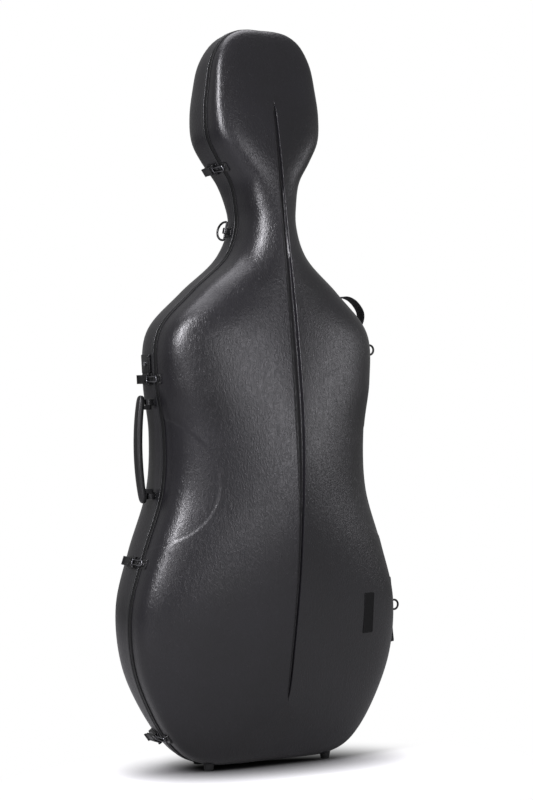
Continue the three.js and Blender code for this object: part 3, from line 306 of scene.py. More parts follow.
@dataclass
class CaseForm:
    """The whole case's outline and surfaces."""

    half_width: float = 266.0
    height: float = 1325.0
    ridge_roundness: float = 1.2
    spine_low: float = 0.085
    spine_high: float = 0.94
    shell_edge: float = 9.8
    rim_proud: float = 1.5
    seal_inset: float = 0.5
    groove_top: float = 1191.2
    groove_bottom: float = 117.9
    groove_half_width: float = 9.8
    groove_end: float = 1.2
    groove_depth: float = 8.5
    groove_wall: float = 0.4
    recess_height: float = 503.5
    recess_radius: float = 118.0
    recess_depth: float = 0.7
    recess_edge: float = 1.8
    wall_top: float = 0.9
    ring_samples: int = 4000
    ring_thinning: float = 0.4
    lid: ShellForm = ShellForm(Half.LID, depth=78, ridge=73, squareness=4.1,
                               depth_shares=LID_DEPTH_SHARES, grooved=True)
    base: ShellForm = ShellForm(Half.BASE, depth=140, ridge=0, squareness=3.3,
                                depth_shares=BASE_DEPTH_SHARES, grooved=False)

    def __post_init__(self) -> None:
        """Finds the case's place in the frame from the seal between the shells."""
        self.outline = Outline(self.half_width, self.height)
        low, high = (np.array(corner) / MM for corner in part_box("rim_seal"))
        middle = (low + high) / 2
        self.origin = np.array([middle[0], middle[1], low[2] - self.seal_inset])

    def to_row(self, points: Array) -> Array:
        """Points of the case's frame in the frame's metres."""
        return (points + self.origin) * MM

    def shell(self, half: Half) -> ShellForm:
        """The form of one half's shell."""
        return self.lid if half is Half.LID else self.base

    def groove_share(self, z: Array) -> Array:
        """How wide and deep the groove is, as a share of its most.

        Args:
            z: Heights.

        Returns:
            The share at each height, 0 beyond the groove's ends.
        """
        along = (z - self.groove_bottom) / (self.groove_top - self.groove_bottom)
        inside = (along > 0) & (along < 1)
        return np.where(inside, np.maximum(table_value(GROOVE_WIDTH_SHARES, along), 0), 0)

    def ridge_at(self, form: ShellForm, share: Array, reach: Array) -> Array:
        """How far the ridge stands out: its most at a share of the height times a rounded slope."""
        slope = 1 - (1 - reach) ** self.ridge_roundness
        return table_value(RIDGE_SHARES, share) * form.ridge * slope

    def surface(
        self, form: ShellForm, rim: Array, normal: Array, reach: Array,
        inset: Array | float = 0.0, edge: float | None = None,
    ) -> Array:
        """A shell's surface over [station, ring].

        A point lies on the straight line from the rim to the spine, at its reach. Its depth is the
        shell's depth at that height times a superellipse of the reach, plus the ridge times a
        rounded slope.

        Args:
            form: The shell's form.
            rim: Stations on the outline.
            normal: Their outward normals.
            reach: 0 at the rim and 1 on the spine.
            inset: How far the surface lies inside the form.
            edge: Where it starts, from the parting plane.

        Returns:
            The points.
        """
        start = self.shell_edge if edge is None else edge
        depth_in = np.broadcast_to(np.asarray(inset, float), reach.shape)
        x0 = rim[:, :1] - depth_in * normal[:, :1]
        z0 = rim[:, 1:] - depth_in * normal[:, 1:]
        spine = np.clip(z0, self.spine_low * self.height, self.spine_high * self.height)
        x, z = x0 * (1 - reach), z0 + (spine - z0) * reach
        share = z / self.height
        wall = form.full_depth(share) - depth_in - start
        depth = start + wall * form.rise(reach) + self.ridge_at(form, share, reach)
        return np.stack([x, form.half * depth, z], axis=2)

    def inside(self, form: ShellForm, rim: Array, normal: Array, reach: Array,
               inset: float, groove: Pair, edge: float | None = None) -> Array:
        """A surface within a shell that keeps clear of the groove's back.

        Near the spine it is drawn in by the groove's depth, eased over a step of the reach.

        Args:
            form: The shell's form.
            rim: Stations on the outline.
            normal: Their outward normals.
            reach: 0 at the rim and 1 on the spine.
            inset: How far the surface lies inside the form.
            groove: The reach at which the step starts, and its width.
            edge: Where the surface starts, from the parting plane.

        Returns:
            The points.
        """
        points = self.surface(form, rim, normal, reach, inset, edge)
        if form.grooved:
            start, width = groove
            points[..., 1] += self.groove_depth * smooth_step((reach - start) / width)
        return points

    def depth_at(self, form: ShellForm, x: Array, z: Array) -> Array:
        """A shell's depth over places between its spine's ends, where the rays lie level.

        Args:
            form: The shell's form.
            x: Places across.
            z: Heights.

        Returns:
            The depths, measured from the parting plane.
        """
        reach = 1 - np.clip(np.abs(x) / self.outline.width_at(z), 0, 1)
        share = z / self.height
        wall = form.full_depth(share) - self.shell_edge
        return self.shell_edge + wall * form.rise(reach) + self.ridge_at(form, share, reach)

    def wall_at(self, form: ShellForm, depth: Array, z: Array) -> Array:
        """Half the width of a shell's side wall, below its shoulder.

        Args:
            form: The shell's form.
            depth: Depths from the parting plane.
            z: Heights.

        Returns:
            Half the width at each place.
        """
        wall = form.full_depth(z / self.height) - self.shell_edge
        rise = np.clip((depth - self.shell_edge) / wall, 0, self.wall_top)
        return self.outline.width_at(z) * (1 - form.reach_at(rise))

    def rings(self, form: ShellForm, count: int, focus: float = 1.0) -> Array:
        """Rings spaced evenly over a typical section, closer together up to a reach.

        The section is sampled finely near the rim. Each step's length, thinned beyond the focus,
        is added up, and the rings lie at equal parts of the sum.

        Args:
            form: The shell's form.
            count: How many rings there are.
            focus: The reach up to which they lie closer.

        Returns:
            The reach of each ring, from 0 to 1.
        """
        reach = np.linspace(0, 1, self.ring_samples) ** 3
        step = np.hypot(np.diff(reach) * self.half_width, np.diff(form.rise(reach)) * form.depth)
        density = np.where(reach[1:] < focus, 1.0, self.ring_thinning)
        total = np.concatenate([[0], np.cumsum(step * density)])
        return np.interp(np.linspace(0, total[-1], count), total, reach)


FORM = CaseForm()


@dataclass(frozen=True)
class Seat:
    """A place on the case with its own axes: along the edge, to the back and outward."""

    origin: Array
    along: Array
    back: Array
    out: Array
    rounds: ClassVar[int] = 12

    @classmethod
    def on_edge(cls, height: float, side: Side) -> "Seat":
        """A seat on the outline.

        Args:
            height: Its height.
            side: The side that it is on.

        Returns:
            The seat.
        """
        point, normal = FORM.outline.at(height, side)
        out = np.array([normal[0], 0, normal[1]])
        back = np.array([0.0, 1.0, 0.0])
        return cls(np.array([point[0], 0, point[1]]), np.cross(back, out), back, out)

    def place(self, local: Array) -> Array:
        """Local points in the case's frame."""
        return self.origin + local @ np.stack([self.along, self.back, self.out])

    def ground(self, form: ShellForm, along: Array, back: Array) -> Array:
        """How far out the shell's side lies, found by steps along the outward axis.

        Args:
            form: The shell.
            along: Places along the edge.
            back: Places to the back, negative on the lid.

        Returns:
            The outward places of the shell's surface.
        """
        out = np.zeros_like(along)
        sign = np.sign(self.origin[0])
        for _ in range(self.rounds):
            x = self.origin[0] + along * self.along[0] + out * self.out[0]
            z = self.origin[2] + along * self.along[2] + out * self.out[2]
            wall = sign * FORM.wall_at(form, np.maximum(np.abs(back), FORM.shell_edge), z)
            out = out + (wall - x) * self.out[0]
        return out


class Shape:
    """Closed surfaces gathered into one mesh, each with its faces turned outwards.

    Its methods take places along a seat's axes, or in the case's frame where it has no seat.
    """

    LEAST_RADIUS = 0.02
    LEAST_CORNER = 0.2
    SUNK = 0.5
    SOFT_END_SHARE = 0.3
    RIVET_RISE = 0.55
    RIVET_SIDES = 20

    def __init__(self, seat: Seat | None = None) -> None:
        """Starts empty.

        Args:
            seat: The seat that its points are given in.
        """
        self.seat = seat
        self.points: list[Array] = []
        self.faces: list[list[int]] = []
        self.uv: list[Array] = []
        self.count = 0

    def add(self, points: Array, quads: Array, caps: Sequence[Array] = (),
            uv: Array | None = None) -> "Shape":
        """Adds one surface.

        Args:
            points: Its points.
            quads: Its four-sided faces.
            caps: Its end faces.
            uv: Places on the surface, one for each point.

        Returns:
            This shape.
        """
        fans = [np.stack([np.full(len(c) - 2, c[0]), c[1:-1], c[2:]], 1) for c in caps]
        triangles = np.vstack([quads[:, [0, 1, 2]], quads[:, [0, 2, 3]], *fans])
        a, b, c = (points[triangles[:, k]] - points.mean(0) for k in range(3))
        if np.einsum("ij,ij->i", a, np.cross(b, c)).sum() < 0:
            quads = quads[:, ::-1]
            caps = [cap[::-1] for cap in caps]
        self.faces += (quads + self.count).tolist() + [(cap + self.count).tolist() for cap in caps]
        self.points.append(points)
        self.uv.append(np.zeros((len(points), 2)) if uv is None else uv)
        self.count += len(points)
        return self

    def grid(self, points: Array, close_u: bool = False, cap: bool = False,
             uv: Array | None = None, close_v: bool = True) -> "Shape":
        """Adds a grid [u, v] of points.

        Args:
            points: The grid.
            close_u: Joins its last row to its first.
            cap: Closes its first and last rows.
            uv: Places on the surface over the grid.
            close_v: Joins each row's last point to its first.

        Returns:
            This shape.
        """
        if self.seat is not None:
            points = self.seat.place(points)
        rows, sides = points.shape[:2]
        u = np.arange(rows if close_u else rows - 1)[:, None]
        v = np.arange(sides if close_v else sides - 1)[None, :]
        u2, v2 = (u + 1) % rows, (v + 1) % sides
        quads = np.stack(np.broadcast_arrays(
            u * sides + v, u * sides + v2, u2 * sides + v2, u2 * sides + v), axis=2).reshape(-1, 4)
        caps = [np.arange(sides)[::-1], np.arange(sides) + (rows - 1) * sides] if cap else []
        flat = None if uv is None else uv.reshape(-1, 2)
        return self.add(points.reshape(-1, 3), quads, caps, flat)

    def prism(self, outline: Array, start: float, end: float) -> "Shape":
        """Adds an outline in the back and outward axes, drawn along the edge.

        Args:
            outline: Its points.
            start: Where it starts along the edge.
            end: Where it ends.

        Returns:
            This shape.
        """
        rows = [np.column_stack([np.full(len(outline), at), outline]) for at in (start, end)]
        return self.grid(np.stack(rows), cap=True)

    def tube(self, path: Array, radius: float, closed: bool, sides: int = 14) -> "Shape":
        """Adds a round wire whose path lies in the plane of the seat's first two axes.

        At each point a circle stands across the path: out to its side and up from the plane.

        Args:
            path: The path in those axes.
            radius: The wire's radius.
            closed: Whether the path is a loop.
            sides: Sides of the wire.

        Returns:
            This shape.
        """
        if closed:
            tangent = np.roll(path, -1, 0) - np.roll(path, 1, 0)
        else:
            tangent = np.gradient(path, axis=0)
        tangent = tangent / np.linalg.norm(tangent, axis=1)[:, None]
        across = np.column_stack([tangent[:, 1], -tangent[:, 0]])
        angle = np.linspace(0, 2 * np.pi, sides, endpoint=False)
        flat = path[:, None, :] + radius * np.cos(angle)[None, :, None] * across[:, None, :]
        up = np.broadcast_to(radius * np.sin(angle), flat.shape[:2])
        local = np.concatenate([flat, up[..., None]], axis=2)
        return self.grid(local, close_u=closed, cap=not closed)

    def turned(self, middle: Sequence[float], profile: Array,
               axis: Axis = Axis.OUT, sides: int = 28) -> "Shape":
        """Adds a profile of [radius, place along the axis] turned about an axis.

        Args:
            middle: The local place that the profile is measured from.
            profile: The profile, open, from one end to the other.
            axis: The axis that it turns about.
            sides: Steps round it.

        Returns:
            This shape.
        """
        angle = np.linspace(0, 2 * np.pi, sides, endpoint=False)
        radius = np.maximum(profile[:, :1], self.LEAST_RADIUS)
        local = np.zeros((len(profile), sides, 3))
        local[..., (axis + 1) % 3] = radius * np.cos(angle)
        local[..., (axis + 2) % 3] = radius * np.sin(angle)
        local[..., axis] = profile[:, 1:]
        return self.grid(local + np.asarray(middle, float), cap=True)

    def rod(self, start: Sequence[float], length: float, radius: float, axis: Axis,
            soft: float = 0.3) -> "Shape":
        """Adds a round rod with softened ends along an axis.

        Args:
            start: The local place of its first end's middle.
            length: Its length.
            radius: Its radius.
            axis: The axis that it runs along.
            soft: How far its ends are softened.

        Returns:
            This shape.
        """
        nick = soft * self.SOFT_END_SHARE
        half = np.array([[0, 0], [radius - soft, 0], [radius - nick, nick], [radius, soft]])
        profile = np.vstack([half, (half * [1, -1])[::-1] + [0, length]])
        return self.turned(start, profile, axis)

    def plate(self, form: ShellForm, middle: Pair, half: Pair,
              top: float, corner: float, soft: float = 0.6) -> "Shape":
        """Adds a plate with round corners and a softened edge that follows the shell under it.

        Its rings are oblongs: one on the shell, one at full size below the top and a quarter
        circle of them over the edge.

        Args:
            form: The shell that it lies on.
            middle: Its middle along the edge and to the back.
            half: Half its sizes.
            top: How far out its face is.
            corner: Radius of its corners.
            soft: Radius of its edge.

        Returns:
            This shape.
        """
        turn = np.linspace(0, np.pi / 2, 4)
        insets = np.concatenate([[0], soft * (1 - np.cos(turn))])
        rises = np.concatenate([[np.nan], top - soft + soft * np.sin(turn)])
        rings = [rounded_oblong(half[0] - i, half[1] - i, max(corner - i, self.LEAST_CORNER))
                 for i in insets]
        flat = np.stack(rings) + np.array(middle)
        ground = self.seat.ground(form, flat[0, :, 0], flat[0, :, 1]) - self.SUNK
        out = np.where(np.isnan(rises)[:, None], ground[None, :], rises[:, None])
        return self.grid(np.concatenate([flat, out[..., None]], axis=2), cap=True)

    def rivet(self, along: float, back: float, top: float, radius: float = 1.7) -> "Shape":
        """Adds a low domed rivet head on a face.

        Args:
            along: Its place along the edge.
            back: Its place to the back.
            top: How far out the face is.
            radius: Its radius.

        Returns:
            This shape.
        """
        dome = arc((0, 0), radius, 0, 0.5, 6) * [1, self.RIVET_RISE]
        profile = np.vstack([[0, -self.SUNK], [radius, -self.SUNK], dome])
        return self.turned((along, back, top), profile, Axis.OUT, self.RIVET_SIDES)


def add_object(name: str, data: bpy.types.ID) -> bpy.types.Object:
    """Makes an object and links it to the scene.

    Args:
        name: Its name.
        data: Its mesh, lamp or camera.

    Returns:
        The object.
    """
    made = bpy.data.objects.new(name, data)
    bpy.context.scene.collection.objects.link(made)
    return made


def make_piece(name: str, shape: Shape, finish: "Finish", body: str, replaces: Sequence[str] = (),
               bevel: float = 0.0, merge: float = 0.0, sharp: float = 38.0) -> bpy.types.Object:
    """Turns a shape into an object of the scene.

    Args:
        name: The piece's name.
        shape: Its surfaces.
        finish: Its finish.
        body: The body that it rides on.
        replaces: The frame's nodes that it stands for.
        bevel: Width of a bevel over its sharp edges, or 0.
        merge: Distance under which points are joined, or 0.
        sharp: Angle in degrees from which an edge looks sharp.

    Returns:
        The object.
    """
    mesh = bpy.data.meshes.new(name)
    points = FORM.to_row(np.vstack(shape.points))
    mesh.from_pydata(points.tolist(), [], shape.faces)
    if any(np.any(uv) for uv in shape.uv):
        index = np.zeros(len(mesh.loops), np.int32)
        mesh.loops.foreach_get("vertex_index", index)
        layer = mesh.uv_layers.new(name="along")
        layer.uv.foreach_set("vector", np.vstack(shape.uv)[index].astype(np.float32).ravel())
    if merge > 0:
        work = bmesh.new()
        work.from_mesh(mesh)
        bmesh.ops.remove_doubles(work, verts=work.verts, dist=merge * MM)
        bmesh.ops.dissolve_degenerate(work, edges=work.edges, dist=merge * MM / 10)
        work.to_mesh(mesh)
        work.free()
    mesh.shade_smooth()
    mesh.set_sharp_from_angle(angle=np.radians(sharp))
    piece = add_object(name, mesh)
    if bevel > 0:
        modifier = piece.modifiers.new("softened edges", "BEVEL")
        modifier.width = bevel * MM
        modifier.segments = 2
        modifier.limit_method = "ANGLE"
        modifier.angle_limit = np.radians(sharp)
        modifier.harden_normals = True
    return dress(piece, finish, body, replaces)


def dress(piece: bpy.types.Object, finish: "Finish", body: str,
          replaces: Sequence[str] = ()) -> bpy.types.Object:
    """Gives a piece its finish, its body and the nodes that it stands for.

    Args:
        piece: The piece.
        finish: Its finish.
        body: The body that it rides on.
        replaces: The frame's nodes that it stands for.

    Returns:
        The piece.
    """
    piece.data.materials.clear()
    piece.data.materials.append(finish.material())
    if replaces:
        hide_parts(*replaces)
    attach(piece, body)
    LOG.info("%s: %d faces on %s", piece.name, len(piece.data.polygons), body)
    return piece


# Materials

def linear(colour: int) -> tuple[float, float, float, float]:
    """A written colour as linear values: the inverse of the usual screen curve.

    Args:
        colour: The colour, with eight bits each for red, green and blue.

    Returns:
        Its linear red, green and blue, and 1 for alpha.
    """
    parts = np.array([(colour >> shift) & 255 for shift in (16, 8, 0)]) / 255
    straight = np.where(parts <= 0.04045, parts / 12.92, ((parts + 0.055) / 1.055) ** 2.4)
    return (*straight.tolist(), 1.0)


def add_node(tree: Tree, kind: str, settings: dict | None = None, **inputs) -> bpy.types.Node:
    """Adds a node with its settings, and sets or links its inputs by name.

    Args:
        tree: The tree.
        kind: The node's type, without ShaderNode in front.
        settings: Its properties.
        inputs: Its inputs, with _ for a space. A key such as i0 is the input at that index.

    Returns:
        The node.
    """
    node = tree.nodes.new("ShaderNode" + kind)
    for key, value in (settings or {}).items():
        setattr(node, key, value)
    for key, value in inputs.items():
        named = key[1:].isdigit() and key[0] == "i"
        socket = node.inputs[int(key[1:])] if named else node.inputs[key.replace("_", " ")]
        if isinstance(value, Socket):
            tree.links.new(value, socket)
        else:
            socket.default_value = value
    return node


def remap(tree: Tree, value: Socket, given: Pair,
          wanted: tuple = (0.0, 1.0), eased: bool = False) -> Socket:
    """Carries a value from one range over to another, clipped at both ends.

    Args:
        tree: The tree.
        value: The value.
        given: The range that it comes in.
        wanted: The range that it leaves in, as values or sockets.
        eased: Whether it eases in and out.

    Returns:
        The carried value.
    """
    settings = {"interpolation_type": "SMOOTHSTEP" if eased else "LINEAR"}
    return add_node(tree, "MapRange", settings, Value=value, From_Min=given[0],
                    From_Max=given[1], To_Min=wanted[0], To_Max=wanted[1]).outputs[0]


def maths(tree: Tree, operation: str, a, b=0.0) -> Socket:
    """The result of one operation on two values or sockets."""
    return add_node(tree, "Math", {"operation": operation}, i0=a, i1=b).outputs[0]


def make_group(name: str, inputs: Sequence[tuple[str, float]], outputs: Sequence[str]) -> tuple:
    """Starts a shader node group.

    Args:
        name: Its name.
        inputs: Its inputs with their defaults.
        outputs: Its outputs.

    Returns:
        The group's tree, its input node and its output node.
    """
    tree = bpy.data.node_groups.new(name, "ShaderNodeTree")
    for label, value in inputs:
        socket = tree.interface.new_socket(label, in_out="INPUT", socket_type="NodeSocketFloat")
        socket.default_value = value
    for label in outputs:
        tree.interface.new_socket(label, in_out="OUTPUT", socket_type="NodeSocketFloat")
    return tree, tree.nodes.new("NodeGroupInput"), tree.nodes.new("NodeGroupOutput")


def grain_group() -> Tree:
    """Pebbled grain: rounded cells, a rough noise and drawn-out creases, with a slow change of tone.

    Height mixes the distance to the nearest cell with a rough noise, on coordinates that are
    squeezed along the height, less the creases, which lie where a warped noise is near its
    middle value. Tone is a slow noise.

    Returns:
        The group's tree.
    """
    name = "pebbled grain"
    if name in bpy.data.node_groups:
        return bpy.data.node_groups[name]
    tree, given, result = make_group(
        name, [("Scale", 300.0), ("Squeeze", 0.6), ("Cells", 0.5), ("Creases", 0.0)], ["Height", "Tone"])
    place = add_node(tree, "TexCoord").outputs["Object"]
    squeeze = add_node(tree, "CombineXYZ", X=1.0, Y=1.0, Z=given.outputs["Squeeze"])
    drawn = add_node(tree, "VectorMath", {"operation": "MULTIPLY"}, i0=place, i1=squeeze.outputs[0])
    noise = add_node(tree, "TexNoise", Vector=drawn.outputs[0], Scale=given.outputs["Scale"],
                     Detail=3.0, Roughness=0.5, Distortion=0.5)
    cells = add_node(tree, "TexVoronoi", {"feature": "SMOOTH_F1"}, Vector=drawn.outputs[0],
                     Scale=maths(tree, "MULTIPLY", given.outputs["Scale"], 1.4), Smoothness=0.5)
    slow = add_node(tree, "TexNoise", Vector=place, Scale=7.0, Detail=3.0, Roughness=0.55)
    domes = maths(tree, "SUBTRACT", 1.0, cells.outputs["Distance"])
    mixed = add_node(tree, "Mix", Factor=given.outputs["Cells"], A=noise.outputs[0], B=domes)
    warped = add_node(tree, "TexNoise", Vector=drawn.outputs[0],
                      Scale=maths(tree, "MULTIPLY", given.outputs["Scale"], 0.4), Detail=2.0, Roughness=0.5,
                      Distortion=1.4)
    from_middle = maths(tree, "ABSOLUTE", maths(tree, "SUBTRACT", warped.outputs[0], 0.5))
    crease = remap(tree, from_middle, (0.0, 0.1), (1.0, 0.0), eased=True)
    pressed = maths(tree, "MULTIPLY", crease, given.outputs["Creases"])
    height = maths(tree, "SUBTRACT", mixed.outputs["Result"], pressed)
    tree.links.new(height, result.inputs["Height"])
    tree.links.new(slow.outputs[0], result.inputs["Tone"])
    return tree


def weave_group() -> Tree:
    """Woven ribs over a piece's own map: the product of a wave along it and one across it.

    Returns:
        The group's tree.
    """
    name = "woven ribs"
    if name in bpy.data.node_groups:
        return bpy.data.node_groups[name]
    tree, given, result = make_group(name, [("Pitch", 0.0016), ("Cross", 0.0022)], ["Height", "Tone"])
    place = add_node(tree, "UVMap", {"uv_map": "along"})
    split = add_node(tree, "SeparateXYZ", Vector=place.outputs[0])

    def wave(value: Socket, pitch: Socket) -> Socket:
        """A sine of a place over a pitch."""
        turns = maths(tree, "DIVIDE", value, pitch)
        return maths(tree, "SINE", maths(tree, "MULTIPLY", turns, 2 * np.pi))

    product = maths(tree, "MULTIPLY", wave(split.outputs[0], given.outputs["Pitch"]),
                    wave(split.outputs[1], given.outputs["Cross"]))
    height = add_node(tree, "Math", {"operation": "MULTIPLY_ADD"}, i0=product, i1=0.5, i2=0.5)
    fuzz = add_node(tree, "TexNoise", Vector=place.outputs[0], Scale=900.0, Detail=2.0)
    tree.links.new(height.outputs[0], result.inputs["Height"])
    tree.links.new(fuzz.outputs[0], result.inputs["Tone"])
    return tree


class Pattern(Enum):
    """What a finish's fine relief is made of."""

    GRAIN = "grain"
    WEAVE = "weave"


@dataclass(frozen=True)
class Finish:
    """A finish: its colours, gloss and fine relief, with shade painted into the relief's hollows."""

    name: str
    slot: str
    dark: int
    light: int
    roughness: float
    rough_spread: float = 0.1
    metallic: float = 0.0
    specular: float = 0.5
    sheen: float = 0.0
    pattern: Pattern = Pattern.GRAIN
    scale: float = 300.0
    squeeze: float = 0.6
    cells: float = 0.5
    creases: float = 0.0
    relief: float = 0.1
    tone_span: ClassVar[Pair] = (0.35, 0.65)
    # The base colour is scaled by the relief's height: painted shade in the hollows and creases, painted
    # light on the tops.
    painted_shade_span: ClassVar[Pair] = (0.3, 0.7)
    painted_shade_scale: ClassVar[Pair] = (0.82, 1.1)
    gloss_span: ClassVar[Pair] = (0.25, 0.75)

    def material(self) -> bpy.types.Material:
        """The finish's material, made the first time that it is asked for.

        Returns:
            The material.
        """
        if self.name in bpy.data.materials:
            return bpy.data.materials[self.name]
        material = bpy.data.materials.new(self.name)
        material.use_nodes = True
        tree = material.node_tree
        shader = tree.nodes["Principled BSDF"]
        effect = tree.nodes.new("ShaderNodeGroup")
        if self.pattern is Pattern.GRAIN:
            effect.node_tree = grain_group()
            effect.inputs["Scale"].default_value = self.scale
            effect.inputs["Squeeze"].default_value = self.squeeze
            effect.inputs["Cells"].default_value = self.cells
            effect.inputs["Creases"].default_value = self.creases
        else:
            effect.node_tree = weave_group()
        height, tone = effect.outputs["Height"], effect.outputs["Tone"]
        blend = remap(tree, tone, self.tone_span)
        colour = add_node(tree, "Mix", {"data_type": "RGBA"}, Factor=blend,
                          i6=linear(self.dark), i7=linear(self.light))
        # Painted shade: the colour is darkened in the relief's hollows and creases and lightened on its
        # tops.
        height_shaded_colour = add_node(tree, "VectorMath", {"operation": "SCALE"}, i0=colour.outputs[2],
                          Scale=remap(tree, height, self.painted_shade_span, self.painted_shade_scale))
        spread = self.rough_spread / 2
        rough = remap(tree, height, self.gloss_span, (self.roughness + spread, self.roughness - spread))
        bump = add_node(tree, "Bump", Strength=1.0, Distance=self.relief * MM, Height=height)
        tree.links.new(height_shaded_colour.outputs[0], shader.inputs["Base Color"])
        tree.links.new(rough, shader.inputs["Roughness"])
        tree.links.new(bump.outputs[0], shader.inputs["Normal"])
        shader.inputs["Metallic"].default_value = self.metallic
        shader.inputs["Specular IOR Level"].default_value = self.specular
        shader.inputs["Sheen Weight"].default_value = self.sheen
        return material


SHELL = Finish("pebbled shell", "shell", 0x121114, 0x17161A, 0.3, 0.08, scale=330.0, squeeze=0.5,
               cells=0.25, creases=0.22, relief=0.36, specular=0.5)
RIM = Finish("satin rim", "rim", 0x131315, 0x18181A, 0.34, 0.1, scale=900.0, squeeze=1.0, cells=0.2,
             relief=0.03)
# The lid's rim is near-black, darker than the base's: partly its own black and partly painted shade for the
# dark line along the seam.
SEAM_SHADE_RIM = Finish("matt dark rim", "rim", 0x050506, 0x080809, 0.5, 0.08, specular=0.25, scale=900.0,
                  squeeze=1.0, cells=0.2, relief=0.03)
RUBBER = Finish("matt rubber", "rubber", 0x060607, 0x0B0B0C, 0.7, 0.1, scale=1200.0, squeeze=1.0,
                relief=0.05)
BLACK_METAL = Finish("black lacquered metal", "black_metal", 0x0A0A0B, 0x101012, 0.28, 0.14, metallic=0.2,
                     scale=1400.0, squeeze=1.0, cells=0.3, relief=0.02)
BRIGHT_METAL = Finish("nickelled metal", "bright_metal", 0xA9AAAD, 0xC2C3C6, 0.24, 0.1, metallic=1.0,
                      scale=1800.0, squeeze=0.3, cells=0.1, relief=0.008)
PLUSH = Finish("short plush", "plush", 0x1F2026, 0x2B2C34, 0.95, 0.04, sheen=0.35, scale=1500.0,
               squeeze=1.0, cells=0.3, relief=0.6)
GUN_METAL = Finish("darkened wire", "bright_metal", 0x6C6C70, 0x7E7E82, 0.28, 0.1, metallic=1.0,
                   scale=1800.0, squeeze=0.3, cells=0.1, relief=0.008)
BADGE = Finish("matt black plate", "black_metal", 0x050506, 0x070708, 0.6, 0.04, specular=0.18,
               scale=900.0, squeeze=1.0, cells=0.3, relief=0.02)
WEBBING = Finish("woven webbing", "webbing", 0x121214, 0x1C1C1F, 0.82, 0.1, pattern=Pattern.WEAVE,
                 relief=0.35)
PLASTIC = Finish("moulded plastic", "plastic", 0x070708, 0x121213, 0.36, 0.12, scale=800.0, squeeze=1.0,
                 cells=0.5, relief=0.08)


@dataclass
class Shells:
    """The two moulded shells, the lid with its groove and round recesses."""

    wall: float = 3.2
    station_spacing: float = 8.0
    fine_spacing: float = 2.2
    fine_margin: float = 8.0
    fine_reach: float = 0.62
    base_rings: int = 54
    lid_rings: int = 78
    inside_rings: int = 14
    groove_rings: tuple[float, ...] = (1.25, 1.07, 1.0, 0.95, 0.89, 0.83, 0.77, 0.71, 0.66, 0.5, 0.25, 0)
    groove_margin: float = 1.6
    inner_groove: Pair = (0.9, 0.08)

    def groove_reaches(self, rim: Array, rings: Array) -> Array:
        """Rings of each station: the given ones up to the groove, then those across it.

        Args:
            rim: Stations on the outline.
            rings: The reach of each ring outside the groove, from 0 to 1.

        Returns:
            The reaches over [station, ring].
        """
        spine = np.clip(rim[:, 1], FORM.spine_low * FORM.height, FORM.spine_high * FORM.height)
        span = np.hypot(rim[:, 0], rim[:, 1] - spine)
        half = np.maximum(FORM.groove_half_width * FORM.groove_share(spine), FORM.groove_end)
        across = np.array(self.groove_rings)
        last = 1 - self.groove_margin * half / span
        return np.hstack([rings[None, :] * last[:, None], 1 - across * (half / span)[:, None]])

    def lid_outside(self, rim: Array, normal: Array, reach: Array) -> Array:
        """The lid's outside: its form with the recesses and the groove pressed in.

        A recess lies within a sphere round the waist's edge and deepens over a narrow rounded
        step. The groove's depth eases from its lips to a flat floor.

        Args:
            rim: Stations on the outline.
            normal: Their outward normals.
            reach: The reaches over [station, ring].

        Returns:
            The points.
        """
        plain = FORM.surface(FORM.lid, rim, normal, reach)
        middle, _ = FORM.outline.at(FORM.recess_height, 1)
        away = np.sqrt((np.abs(plain[..., 0]) - middle[0]) ** 2 + plain[..., 1] ** 2
                       + (plain[..., 2] - middle[1]) ** 2)
        pressed = FORM.recess_depth * smooth_step((FORM.recess_radius - away) / FORM.recess_edge + 0.5)
        points = FORM.surface(FORM.lid, rim, normal, reach, pressed)
        share = FORM.groove_share(points[..., 2])
        half = np.maximum(FORM.groove_half_width * share, NOT_ZERO)
        depth = FORM.groove_depth * np.sqrt(share)
        points[..., 1] += depth * smooth_step((1 - np.abs(points[..., 0]) / half) / FORM.groove_wall)
        return points

    def build(self) -> None:
        """Builds both shells."""
        around = FORM.recess_radius + self.fine_margin
        rim, normal = FORM.outline.loop(self.station_spacing, self.fine_spacing,
                                        FORM.recess_height - around, FORM.recess_height + around)
        reach = self.groove_reaches(rim, FORM.rings(FORM.lid, self.lid_rings, self.fine_reach))
        outside = self.lid_outside(rim, normal, reach)
        self.make(FORM.lid, outside, rim, normal)
        rim, normal = FORM.outline.loop(self.station_spacing)
        reach = FORM.rings(FORM.base, self.base_rings)[None, :].repeat(len(rim), 0)
        outside = FORM.surface(FORM.base, rim, normal, reach)
        self.make(FORM.base, outside, rim, normal)

    def make(self, form: ShellForm, outside: Array, rim: Array, normal: Array) -> None:
        """Makes one closed shell: its outside, then its inside, which lies one wall further in.

        Args:
            form: The shell's form.
            outside: Its outside over [station, ring].
            rim: Stations on the outline.
            normal: Their outward normals.
        """
        inner = FORM.rings(form, self.inside_rings)[None, :].repeat(len(rim), 0)
        inside = FORM.inside(form, rim, normal, inner, self.wall, self.inner_groove)
        rows = np.concatenate([outside[:, ::-1], inside], axis=1)
        half = form.half.label
        make_piece(f"{half}_shell_skin", Shape().grid(rows, close_u=True, close_v=False), SHELL, half,
                   [f"{half}_shell"], merge=0.01, sharp=60)


